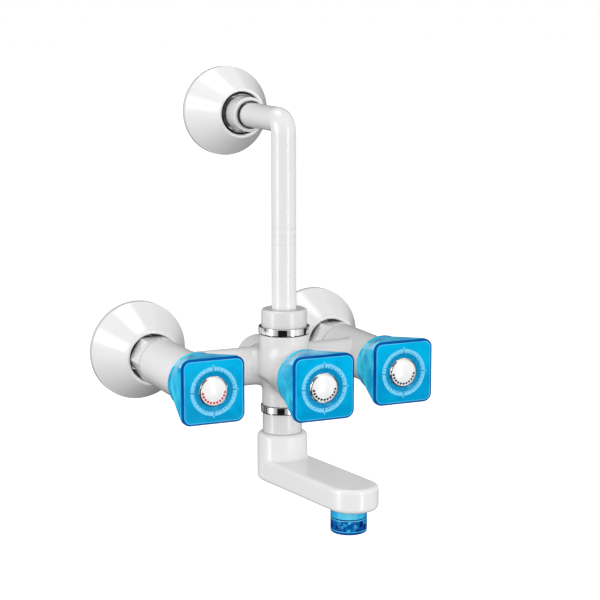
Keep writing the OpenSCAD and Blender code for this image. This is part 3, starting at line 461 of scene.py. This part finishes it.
def body_distance(x, out, z):
    """Signed distance, in millimetres, to the moulded body with its waterways."""
    boss = rod(np.hypot(x, z), out, BOSS_R_MM, BOSS_BACK_MM, BOSS_FRONT_MM, rim=1.0)
    tube = rod(np.hypot(out - TUBE_OUT_MM, z), x, TUBE_R_MM, HOT_X_MM, COLD_X_MM, rim=0.2)
    barrel = rod(np.hypot(x, out - AXIS_OUT_MM), z, BARREL_R_MM, BARREL_FOOT_MM, BARREL_TOP_MM, rim=0.5)
    stub = rod(np.hypot(x, out - OUTLET_OUT_MM), z, STUB_R_MM, -STUB_BOTTOM_MM, 0.0, rim=0.5)
    across = np.hypot(np.abs(x) - COLD_X_MM, z)
    legs = rod(across, out, LEG_R_MM, LEG_BACK_MM, LEG_FRONT_MM, rim=0.7)
    solid = filleted(boss, tube, TUBE_FILLET_MM)
    solid = filleted(solid, barrel, BARREL_FILLET_MM)
    solid = filleted(solid, stub, STUB_FILLET_MM)
    solid = filleted(solid, legs, LEG_FILLET_MM)
    past, rim = 5.0, 0.1  # how far a bore runs past its mouth, rounding of its ends
    bores = [
        rod(across, out, TAIL_R_MM, LEG_BACK_MM - past, LEG_BACK_MM + TAIL_DEPTH_MM, rim),
        rod(across, out, LEG_BORE_R_MM, LEG_BACK_MM, LEG_BORE_END_MM, rim),
        rod(across, out, SEAT_R_MM, LEG_BACK_MM, SEAT_END_MM, rim),
        rod(across, out, CHAMBER_R_MM, LEG_CHAMBER_MM, LEG_FRONT_MM + past, rim),
        rod(np.hypot(x, z), out, CHAMBER_R_MM, BOSS_CHAMBER_MM, BOSS_FRONT_MM + past, rim),
        rod(np.hypot(out - TUBE_OUT_MM, z), x, TUBE_BORE_R_MM, HOT_X_MM, COLD_X_MM, rim),
        rod(np.hypot(x, out - AXIS_OUT_MM), z, RISER_SOCKET_R_MM, RISER_SOCKET_MM,
            BARREL_TOP_MM + past, rim),
        rod(np.hypot(x, out - OUTLET_OUT_MM), z, SPOUT_SOCKET_R_MM, -STUB_BOTTOM_MM - past,
            SPOUT_SOCKET_MM, rim),
    ]
    for bore in bores:
        solid = np.maximum(solid, -bore)
    return solid


def surface_net(value, low, step):
    """Points and quads where a field sampled on a grid changes sign, one point in each cell it cuts."""
    inside = value < 0
    shape = tuple(n - 1 for n in value.shape)
    corners = [np.array((i, j, k)) for i in (0, 1) for j in (0, 1) for k in (0, 1)]
    some, every = np.zeros(shape, bool), np.ones(shape, bool)
    for c in corners:
        part = inside[tuple(slice(c[a], c[a] + shape[a]) for a in range(3))]
        some |= part
        every &= part
    cells = np.argwhere(some & ~every)
    index = np.full(shape, -1)
    index[tuple(cells.T)] = np.arange(len(cells))
    total, count = np.zeros((len(cells), 3)), np.zeros(len(cells))
    for a in corners:
        for axis in range(3):
            if a[axis]:
                continue
            unit = np.eye(3, dtype=int)[axis]
            here, there = value[tuple((cells + a).T)], value[tuple((cells + a + unit).T)]
            crosses = (here < 0) != (there < 0)
            share = np.where(crosses, here / np.where(crosses, here - there, 1), 0)
            total += crosses[:, None] * (a + share[:, None] * unit)
            count += crosses
    points = low + step * (cells + total / count[:, None])
    quads = []
    for axis in range(3):
        u, v = np.eye(3, dtype=int)[(axis + 1) % 3], np.eye(3, dtype=int)[(axis + 2) % 3]
        first = np.take(inside, range(value.shape[axis] - 1), axis)
        second = np.take(inside, range(1, value.shape[axis]), axis)
        g = np.argwhere(first != second)
        ring = np.stack([index[tuple(r.T)] for r in (g - u - v, g - v, g, g - u)], 1)
        outward = first[tuple(g.T)]
        quads.append(np.where(outward[:, None], ring, ring[:, ::-1]))
    return points, np.concatenate(quads)


def body_field(points):
    """Distance and its slope at points (x, out, z)."""
    reach = 0.02
    value = body_distance(*points.T)
    slope = np.stack([
        body_distance(*(points + reach * unit).T) - body_distance(*(points - reach * unit).T)
        for unit in np.eye(3)
    ], 1) / (2 * reach)
    return value, slope


def moulded_body():
    """The body as one skin with soft joins, its points pulled on to the exact surface."""
    rounds, furthest, flattest = 5, 0.3, 0.25
    low, counts = np.array(GRID_LOW_MM), (np.array(GRID_SIZE_MM) / GRID_STEP_MM).astype(int) + 1
    axes = [low[a] + GRID_STEP_MM * np.arange(counts[a]) for a in range(3)]
    grid = np.meshgrid(*axes, indexing="ij")
    points, quads = surface_net(body_distance(*grid), low, GRID_STEP_MM)
    for _ in range(rounds):
        value, slope = body_field(points)
        size = np.maximum((slope ** 2).sum(1), flattest)
        points = points - np.clip(value / size, -furthest, furthest)[:, None] * slope
    slope = body_field(points)[1]
    slope /= np.linalg.norm(slope, axis=1)[:, None]
    place = np.stack([points[:, 0], -points[:, 1], points[:, 2]], 1) * MM
    normals = np.stack([slope[:, 0], -slope[:, 1], slope[:, 2]], 1)
    seam = (points[quads][:, :, 1].max(1) < LEG_BACK_MM + GAP_SHADOW_MM).astype(int)
    make("moulded_body", place, quads[:, ::-1], [BODY_WHITE, GAP_SHADOW], "main", ["body"],
         seam, normals)


# ---------------------------------------------------------------- knobs
KNOB_STEP_DEG, NOTCH_SHOULDER = 1.5, 1.12  # even steps round a knob, width of a notch at its top
QUARTER_ROUND = np.radians(np.arange(0, 91, 15))  # steps along a rounded edge


def square_reach(angles, half, corner):
    """Distance from the axis to a square with rounded corners, along each angle."""
    c, s = np.abs(np.cos(angles)), np.abs(np.sin(angles))
    flat = half / np.maximum(c, s)
    middle = (half - corner) * (c + s)
    root = np.maximum(middle ** 2 - 2 * (half - corner) ** 2 + corner ** 2, 0)
    return np.where(np.minimum(c, s) * flat > half - corner, middle + np.sqrt(root), flat)


def off_flat(angles):
    """Angle from the middle of the nearest side of the square."""
    return np.abs((angles + math.pi / 4) % (math.pi / 2) - math.pi / 4)


def knob_angles():
    """Even angles with two close pairs at each notch of the raised ring."""
    notch = math.asin(DIAL_GAP_MM / 2 / DIAL_OUT_MM)
    pairs = [q * math.pi / 2 + s * notch * k
             for q in range(4) for s in (-1, 1) for k in (1.0, NOTCH_SHOULDER)]
    even = np.arange(0, 2 * math.pi, math.radians(KNOB_STEP_DEG))
    angles = np.concatenate([even, np.mod(pairs, 2 * math.pi)])
    return np.sort(angles), notch


def knob_mesh():
    """Local points in millimetres, quads and a material mark for each quad.

    The rows of points run from the screw's hole up the recess, over the raised ring and the face,
    round the plate's edge, down the flaring skirt and into the hollow back.
    """
    angles, notch = knob_angles()
    rows, marks = [], []

    def loop(reach, z, mark):
        reach = np.broadcast_to(reach, angles.shape)
        z = np.broadcast_to(z, angles.shape)
        rows.append(np.stack([reach * np.cos(angles), reach * np.sin(angles), z], 1))
        marks.append(np.broadcast_to(mark, angles.shape))

    face, edge, line, flare, ridge, dish, dial_tone = range(7)
    plain_reach, dash_waves, dash_level, ridge_from = 0.5, 36, 0.3, math.radians(38)
    middles = (angles + np.append(angles[1:], angles[0] + 2 * math.pi)) / 2
    off = off_flat(middles)
    dial = np.where(off > notch, dial_tone, dish)
    tick = np.where((off < notch) & (np.abs(middles - math.pi) > plain_reach), dial_tone, face)
    dashes = np.where(np.sin(middles * dash_waves) > dash_level, dish, dial)
    # painted highlight: the skirt's corners take the pale ridge blue
    skirt = np.where(off > ridge_from, ridge, flare)

    front, dish_end = PLATE_FRONT_MM, DIAL_IN_MM - 0.2
    loop(SCREW_HOLE_R_MM, RECESS_Z_MM, dish)
    loop(RECESS_R_MM, RECESS_Z_MM, dish)
    loop(RECESS_R_MM, front - DISH_D_MM, dish)
    for k in (0.25, 0.5, 0.75):
        loop(RECESS_R_MM + k * (dish_end - RECESS_R_MM), front - DISH_D_MM * (1 - k), dish)
    loop(dish_end, front, dial)

    raised = off_flat(angles) > notch * (1 + NOTCH_SHOULDER) / 2
    lean, bevel, bevel_drop, notch_floor = 0.02, 0.2, 0.15, 0.02
    dashes_from, dashes_to, tick_length = 0.18, 0.75, 1.4
    top = np.where(raised, front + DIAL_H_MM, front + notch_floor)
    loop(DIAL_IN_MM, front, dial)
    loop(DIAL_IN_MM + lean, top - bevel_drop * raised, dial)
    loop(DIAL_IN_MM + dashes_from, top, dashes)
    loop(DIAL_IN_MM + dashes_to, top, dial)
    loop(DIAL_OUT_MM - bevel, top, dial)
    loop(DIAL_OUT_MM - lean, top - bevel_drop * raised, dial)
    loop(DIAL_OUT_MM, front, tick)
    loop(DIAL_OUT_MM + tick_length, front, face)

    half, corner = KNOB_HALF_MM, KNOB_CORNER_MM
    guide, guide_corner, line_wide, line_corner = 4.0, 1.8, 0.5, 0.2
    loop(square_reach(angles, half - guide, corner - guide_corner), front, face)
    # painted highlight: a pale line just inside the edge band
    loop(square_reach(angles, half - EDGE_BAND_MM - line_wide, corner - EDGE_BAND_MM - line_corner),
         front, line)
    # painted shade: from here the edge band, the rounding and the plate's side take the darker edge blue
    loop(square_reach(angles, half - EDGE_BAND_MM, corner - EDGE_BAND_MM), front, edge)
    for a in QUARTER_ROUND:
        inset = PLATE_ROUND_MM * (1 - math.sin(a))
        drop = PLATE_ROUND_MM * (1 - math.cos(a))
        loop(square_reach(angles, half - inset, corner - inset), front - drop, edge)

    lip, tuck, skirt_steps = 0.4, 0.1, 21
    loop(square_reach(angles, half, corner), front - EDGE_SIDE_MM, skirt)
    loop(square_reach(angles, half, corner), PLATE_BACK_MM + lip, skirt)
    loop(square_reach(angles, half - tuck, corner), PLATE_BACK_MM, skirt)
    for k in np.linspace(0, 1, skirt_steps + 1)[1:]:
        h = half + k * (KNOB_BACK_R_MM - half)
        c = corner + k * (KNOB_BACK_R_MM - corner)
        loop(square_reach(angles, h, c), PLATE_BACK_MM + k * (SKIRT_END_MM - PLATE_BACK_MM), skirt)

    outer, inner = 0.6, 0.3  # chamfers of the back
    loop(KNOB_BACK_R_MM, KNOB_BACK_MM + outer, flare)
    loop(KNOB_BACK_R_MM - outer, KNOB_BACK_MM, flare)
    loop(HOLLOW_R_MM + inner, KNOB_BACK_MM, flare)
    loop(HOLLOW_R_MM, KNOB_BACK_MM + inner, flare)
    loop(HOLLOW_R_MM, HOLLOW_Z_MM, flare)
    loop(BUSH_R_MM, HOLLOW_Z_MM, flare)
    loop(BUSH_R_MM, BUSH_TOP_MM, flare)
    loop(SCREW_HOLE_R_MM, BUSH_TOP_MM, flare)
    faces = grid_faces(len(rows), len(angles))[:, ::-1]
    return np.concatenate(rows), faces, np.concatenate(marks)


def knobs():
    """The three crystal knobs, all of one form."""
    points, faces, marks = knob_mesh()
    for name, (x, out, _) in KNOBS.items():
        knob = make(f"{name}_crystal_knob", on_wall(points, x, out), faces,
                    [FACE_BLUE, EDGE_BLUE, LINE_BLUE, FLARE_BLUE, RIDGE_BLUE, DISH_BLUE, DIAL_BLUE],
                    f"{name}_handle", [f"{name}_knob"], marks)
        knob.visible_glossy = knob.visible_diffuse = False  # keeps blue off the white plastic


# ---------------------------------------------------------------- turned pieces and prints
TURN_STEPS = 96
DOT_STEPS = 24


def turned(profile):
    """Points and quads of a closed (radius, height) profile turned round local Z."""
    turn = np.linspace(0, 2 * math.pi, TURN_STEPS, endpoint=False)
    rows = [np.stack([r * np.cos(turn), r * np.sin(turn), np.full(TURN_STEPS, z)], 1) for r, z in profile]
    return np.concatenate(rows), grid_faces(len(profile), TURN_STEPS)


def cap_rims():
    """Chrome ring round each cap with a wide sloping front edge."""
    slope, inner, outer, outer_drop = 0.43, 0.05, 0.06, 0.1  # fall of the front, bevels at its ends
    profile = [(RIM_BORE_MM, RECESS_Z_MM), (RIM_BORE_MM, RIM_TOP_MM - inner),
               (RIM_BORE_MM + inner, RIM_TOP_MM), (RIM_R_MM - outer, RIM_TOP_MM - slope),
               (RIM_R_MM, RIM_TOP_MM - slope - outer_drop), (RIM_R_MM, RECESS_Z_MM)]
    points, faces = turned(profile)
    for name, (x, out, _) in KNOBS.items():
        make(f"{name}_sloped_rim", on_wall(points, x, out), faces[:, ::-1], [CHROME],
             f"{name}_handle", [f"{name}_cap_rim"], sharp=20)


def trim_rings():
    """Chrome rings over and under the body, chamfered along the lower edge."""
    rings = {  # outer radius, bore, height, distance out, height of the lower face
        "upper": (UPPER_RING_R_MM, UPPER_RING_BORE_MM, UPPER_RING_H_MM, AXIS_OUT_MM, BARREL_TOP_MM),
        "lower": (LOWER_RING_R_MM, LOWER_RING_BORE_MM, LOWER_RING_H_MM, OUTLET_OUT_MM,
                  -STUB_BOTTOM_MM - LOWER_RING_H_MM),
    }
    under, lean, over = 0.85, 0.4, 0.15  # height and slope of the lower chamfer, upper bevel
    painted_dark_rows = [1, 1, 0, 0, 1, 0]  # the chamfer and the upper face carry the darker chrome, a painted dark reflection
    for name, (r, bore, height, out, foot) in rings.items():
        profile = [(bore, 0.0), (r - lean, 0.0), (r, under), (r, height - over), (r - over, height),
                   (bore, height)]
        points, faces = turned(profile)
        make(f"{name}_chrome_ring", (points + np.array([0, -out, foot])) * MM, faces,
             [CHROME, DARK_REFLECTION_CHROME], "main", [f"{name}_ring"],
             np.repeat(painted_dark_rows, TURN_STEPS), sharp=15)


def aerator_cup():
    """Blue aerator: light band, groove, and a darker cup with a rounded foot."""
    band, groove, cup, foot, line = range(5)
    r, top = AERATOR_R_MM, AERATOR_H_MM
    split = top - AERATOR_BAND_MM
    line_from, line_to, side_line = 0.6, 1.1, 0.7  # pale lines over the foot and under the groove
    # painted shade: the dark groove blue fills the groove and a band of height shade under the top edge
    groove_d, groove_h, shade, bevel, clear = 0.4, 0.8, 0.7, 0.3, 0.05
    rows = [(MOUTH_R_MM, 0.0, foot)]
    for a in QUARTER_ROUND:
        inset = AERATOR_ROUND_MM * (1 - math.sin(a))
        rows.append((r - inset, AERATOR_ROUND_MM * (1 - math.cos(a)), foot))
    rows += [(r, AERATOR_ROUND_MM + line_from, line), (r, AERATOR_ROUND_MM + line_to, cup),
             (r, split - side_line, line), (r, split, groove), (r - groove_d, split, groove),
             (r - groove_d, split + groove_h, groove), (r, split + groove_h, band),
             (r, top - shade, groove), (r - bevel, top, band),
             (AERATOR_THREAD_R_MM, top, band), (AERATOR_THREAD_R_MM, top + AERATOR_THREAD_L_MM, band),
             (STRAIGHTENER_R_MM + clear, top + AERATOR_THREAD_L_MM, cup),
             (STRAIGHTENER_R_MM + clear, MOUTH_DEPTH_MM, cup), (MOUTH_R_MM, MOUTH_DEPTH_MM, cup)]
    points, faces = turned([row[:2] for row in rows])
    marks = np.repeat([row[2] for row in rows], TURN_STEPS)
    swing = math.radians(SPOUT_SWING_DEG - 90)
    place = np.array([SPOUT_REACH_MM * math.cos(swing),
                      SPOUT_REACH_MM * math.sin(swing) - OUTLET_OUT_MM, SPOUT_BOTTOM_MM - AERATOR_H_MM])
    tones = [BAND_BLUE, GROOVE_BLUE, CUP_BLUE, RIM_BLUE, LINE_BLUE]
    make("aerator_cup", (points + place) * MM, faces, tones, "spout_arm", ["aerator_housing"],
         marks)


def cap_dots():
    """Printed dots in an arc along the lower half of each cap, a hair thicker than the dome."""
    count, first, last, reach = 11, 188, 352, 8.4
    dot_r, flat_share, lift, sink = 0.98, 0.85, 0.03, 0.02
    crown = (CAP_R_MM ** 2 + CAP_DOME_MM ** 2) / (2 * CAP_DOME_MM)
    rim = np.linspace(0, 2 * math.pi, DOT_STEPS, endpoint=False)
    for name, (x, out, colour) in KNOBS.items():
        points, faces = [], []
        for a in np.radians(np.linspace(first, last, count)):
            start = len(points)
            disc = [(0.0, 0.0)] + [(s * dot_r * math.cos(t), s * dot_r * math.sin(t))
                                   for s in (flat_share, 1.0) for t in rim]
            for k, (u, v) in enumerate(disc):
                px, py = reach * math.cos(a) + u, reach * math.sin(a) + v
                dome = math.sqrt(crown ** 2 - px ** 2 - py ** 2) - crown + CAP_TOP_MM
                points.append((px, py, dome + (lift if k <= DOT_STEPS else -sink)))
            faces.append(tuple(start + 2 * DOT_STEPS - j for j in range(DOT_STEPS)))
            for j in range(DOT_STEPS):
                near, beside = start + 1 + j, start + 1 + (j + 1) % DOT_STEPS
                faces.append((start, near, beside))
                faces.append((near, near + DOT_STEPS, beside + DOT_STEPS, beside))
        make(f"{name}_cap_dots", on_wall(points, x, out), faces,
             [print_ink(f"{name}_dots", colour)], f"{name}_handle")


# ---------------------------------------------------------------- CAD nodes shown as they are
NODE_MATERIALS = {
    "union_nut": NUT_PAINTED_REFLECTION, "tailpiece": BRASS, "union_washer": RUBBER, "inlet_connector": NICKEL,
    "flange": FLANGE_WHITE, "riser_flange": RISER_FLANGE_LIT_WHITE, "cold_flange": COLD_FLANGE_SHADED_WHITE,
    "upper_ring": CHROME, "riser_nut": NECK_WHITE, "riser_seal": RUBBER, "riser_pipe": PIPE_WHITE,
    "riser_trim_ring": DARK_REFLECTION_CHROME, "riser_coupling": WHITE, "riser_washer": RUBBER,
    "riser_lock_nut": SHADED_CHROME, "riser_wall_nipple": NICKEL, "lower_ring": CHROME,
    "spout_neck": NECK_WHITE, "spout_o_rings": RUBBER, "spout_clip": STEEL, "spout": SPOUT_WHITE,
    "aerator_housing": CUP_BLUE, "flow_straightener": INNER, "aerator_washer": RUBBER,
    "headwork": BRASS, "seat_seal": RUBBER, "fixed_disc": CERAMIC, "turning_disc": CERAMIC,
    "spindle": BRASS, "bonnet": BRASS, "plug": INNER, "knob_bush": INNER, "knob": FACE_BLUE,
    "knob_screw": STEEL, "cap_rim": CHROME, "cap": CAP_WHITE, "body": WHITE,
}


def dress_nodes():
    """Gives each CAD node the material with the longest name that ends the node's own."""
    for name, piece in frame["nodes"].items():
        matches = [key for key in NODE_MATERIALS if name == key or name.endswith("_" + key)]
        material = NODE_MATERIALS[max(matches, key=len)]
        piece.data.materials.clear()
        piece.data.materials.append(material)


# ---------------------------------------------------------------- stage
CAMERA_AZIMUTH, CAMERA_ELEVATION = -0.4257, 0.17588  # radians
CAMERA_PLACE = Vector((-0.5294, -1.3111, 0.2844))
SENSOR_MM, PHOTO_WIDTH, FOCAL_PIXELS = 36, 600, 1802.4
CENTRE = Vector((0, -0.1, 0.04))

LIGHTS = {  # azimuth, height, distance, width, height of the box, strength, only for reflections
    "key_left": (-60, 0.0, 1.7, 0.36, 1.9, 5.4, True),
    "strip_right": (40, 0.0, 1.7, 0.22, 1.9, 8.0, True),
    "top": (-10, 1.7, 0.6, 1.3, 1.1, 0.35, False),
    "streak_above": (-124, 1.6, 0.53, 0.8, 0.8, 4.5, True),
    "streak_left": (-77, 0.56, 1.7, 0.7, 0.7, 4.5, True),
}
SURROUND_SHADES = [  # azimuth in degrees, level
    (-180, 0.2), (-122, 0.25), (-112, 0.2), (-110, 0.05), (-104, 0.05), (-102, 0.3), (-97, 0.3),
    (-95, 0.04), (-88, 0.08), (-82, 0.65), (-70, 0.95), (-50, 0.95), (-44, 0.7), (-30, 0.4),
    (-26, 0.3), (-25, 0.01), (14, 0.01), (15, 0.4), (26, 0.45), (31, 0.85), (65, 0.95), (75, 0.75),
    (94, 0.45), (100, 0.2), (102, 0.01), (119, 0.01), (123, 0.2), (140, 0.4), (158, 0.35),
    (162, 0.2), (180, 0.2),
]
SURROUND_R, SURROUND_REACH, SURROUND_STEPS = 1.9, 1.7, 720
SKY_LEVELS = [  # from straight down (0) to straight up (1)
    (0.0, 0.1), (0.2, 0.24), (0.325, 0.5), (0.425, 0.7), (0.5, 0.93), (0.575, 0.97), (0.675, 0.84),
    (0.8, 0.6), (1.0, 0.22),
]
SKY_STRENGTH = 1.68
FLAG_HALF, FLAG_SHADE, FLAG_HEIGHT = 1.6, 0.05, -0.62
FLOOR_HALF, FLOOR_HEIGHT, FLOOR_TONE, FLOOR_ROUGHNESS, FLOOR_GLOW = 30.0, -0.9, 0.9, 0.9, 0.45
WALL_DISCS = {  # x, height, radius, body that it goes with
    "shade_hot": (HOT_X_MM * MM, 0.0, 0.036, "hot_cover"),
    "shade_cold": (COLD_X_MM * MM, 0.0, 0.036, "cold_cover"),
    "shade_riser": (0.0, 0.184, 0.032, "riser_cover"),
}
DISC_GAP, DISC_STEPS = 0.0006, 48


def aim(obj, back):
    """Turns a camera or lamp so that its +Z points along back."""
    back = back.normalized()
    right = Vector((0, 0, 1)).cross(back).normalized()
    up = back.cross(right)
    obj.matrix_world = Matrix.Translation(obj.location) @ Matrix((right, up, back)).transposed().to_4x4()


def add_camera():
    """The photo's camera."""
    camera = bpy.data.objects.new("camera", bpy.data.cameras.new("camera"))
    bpy.context.scene.collection.objects.link(camera)
    camera.location = CAMERA_PLACE
    camera.data.sensor_width = SENSOR_MM
    camera.data.lens = FOCAL_PIXELS / PHOTO_WIDTH * SENSOR_MM
    camera.data.clip_start, camera.data.clip_end = 0.05, 50
    a, e = CAMERA_AZIMUTH, CAMERA_ELEVATION
    aim(camera, Vector((math.sin(a) * math.cos(e), -math.cos(a) * math.cos(e), math.sin(e))))
    bpy.context.scene.camera = camera


def around(azimuth, height, distance):
    """A point round the object; azimuth is counted from the camera's side, to the right."""
    a = CAMERA_AZIMUTH + math.radians(azimuth)
    return CENTRE + Vector((math.sin(a) * distance, -math.cos(a) * distance, height))


def softbox(name, azimuth, height, distance, wide, tall, strength, gloss_only):
    """A softbox that faces the mixer, as bright per area as its strength says."""
    light = bpy.data.lights.new(name, "AREA")
    light.shape, light.size, light.size_y = "RECTANGLE", wide, tall
    light.energy = strength * wide * tall * math.pi
    lamp = bpy.data.objects.new(name, light)
    bpy.context.scene.collection.objects.link(lamp)
    lamp.location = around(azimuth, height, distance)
    lamp.visible_diffuse = not gloss_only
    lamp.visible_camera = False
    aim(lamp, lamp.location - CENTRE)


def stage_mesh(name, points, faces, material):
    """A mesh object that belongs to the stage."""
    made = bpy.data.objects.new(name, bpy.data.meshes.new(name))
    made.data.from_pydata(points, [], faces)
    made.data.materials.append(material)
    bpy.context.scene.collection.objects.link(made)
    return made


def level_square(half):
    """Corners and face of a level square."""
    return [(-half, -half, 0), (half, -half, 0), (half, half, 0), (-half, half, 0)], [(0, 1, 2, 3)]


def glowing(name, colour):
    """Material that shines with a colour, or with the mesh attribute that colour names."""
    material = bpy.data.materials.new(name)
    tree = Tree(material)
    tree.nodes.remove(tree.nodes["Principled BSDF"])
    if isinstance(colour, str):
        colour = tree.node("ShaderNodeAttribute", attribute_name=colour).outputs["Fac"]
    glow = tree.node("ShaderNodeEmission", {"Color": colour})
    tree.links.new(glow.outputs[0], tree.nodes["Material Output"].inputs["Surface"])
    return material


def reflections_only(card):
    """Hides a card from everything but reflections."""
    card.visible_camera = card.visible_diffuse = card.visible_shadow = False
    card.visible_transmission = False


def flag_below():
    """A level dark card under the mixer."""
    shine = glowing("flag_below", (*grey(FLAG_SHADE), 1))
    card = stage_mesh("flag_below", *level_square(FLAG_HALF), shine)
    card.location = CENTRE + Vector((0, 0, FLAG_HEIGHT))
    reflections_only(card)


def surround():
    """Upright screen of light and shade all round, in steps of azimuth."""
    azimuths = np.linspace(-180, 180, SURROUND_STEPS + 1)
    levels = np.interp(azimuths, *zip(*SURROUND_SHADES))
    points = [around(a, side * SURROUND_REACH, SURROUND_R) for side in (-1, 1) for a in azimuths]
    above = SURROUND_STEPS + 1
    quads = [(i, i + 1, i + 1 + above, i + above) for i in range(SURROUND_STEPS)]
    screen = stage_mesh("surround", points, quads, glowing("surround", "shade"))
    screen.data.attributes.new("shade", "FLOAT", "POINT").data.foreach_set("value", np.tile(levels, 2))
    reflections_only(screen)


def world():
    """White wherever the camera, a gloss or clear plastic looks, and soft light brightest from level."""
    made = bpy.data.worlds.new("studio")
    bpy.context.scene.world = made
    tree = Tree(made)
    white = tree.node("ShaderNodeBackground", {"Strength": 1.0, "Color": (1, 1, 1, 1)})
    way = tree.node("ShaderNodeTexCoord").outputs["Generated"]
    climb = tree.node("ShaderNodeSeparateXYZ", {0: way}).outputs["Z"]
    ring = tree.ramp(tree.spread(climb, 0.0, 1.0, -1.0, 1.0), *((at, grey(x)) for at, x in SKY_LEVELS))
    sky = tree.nodes["Background"]
    tree.links.new(ring, sky.inputs["Color"])
    sky.inputs["Strength"].default_value = SKY_STRENGTH
    mix = tree.node("ShaderNodeMixShader", {0: tree.seen(), 1: sky.outputs[0], 2: white.outputs[0]})
    tree.links.new(mix.outputs[0], tree.nodes["World Output"].inputs["Surface"])


def floor():
    """Plain pale floor well under the mixer, with a glow of its own where it is seen."""
    m = Shade("floor")
    m.set(Base_Color=grey(FLOOR_TONE), Roughness=FLOOR_ROUGHNESS, Emission_Color=grey(1.0))
    m.feed("Emission Strength", m.math("MULTIPLY", m.seen(), FLOOR_GLOW))
    plane = stage_mesh("floor", *level_square(FLOOR_HALF), m.material)
    plane.location = (0, 0, FLOOR_HEIGHT)
    plane.visible_diffuse = False


def wall_disc(name, x, height, radius, body):
    """A pale disc for the bit of wall behind a flange, so that no background shows through its gap.

    It goes with the flange, so that it never shows beside one that has slid forward.
    """
    turn = np.linspace(0, 2 * math.pi, DISC_STEPS, endpoint=False)
    rim = [(radius * math.cos(a), 0.0, radius * math.sin(a)) for a in turn]
    m = Shade(name)
    m.set(Base_Color=grey(1.0))
    disc = stage_mesh(name, rim, [tuple(range(DISC_STEPS))], m.material)
    disc.location = (x, DISC_GAP, height)
    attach(disc, body)


def studio():
    """Lights, dark and pale cards, and the bits of wall behind the flanges."""
    for name, values in LIGHTS.items():
        softbox(name, *values)
    surround()
    flag_below()
    for name, values in WALL_DISCS.items():
        wall_disc(name, *values)


dress_nodes()
moulded_body()
knobs()
cap_rims()
cap_dots()
trim_rings()
aerator_cup()
add_camera()
world()
floor()
studio()
bpy.context.scene.view_settings.view_transform = "Standard"
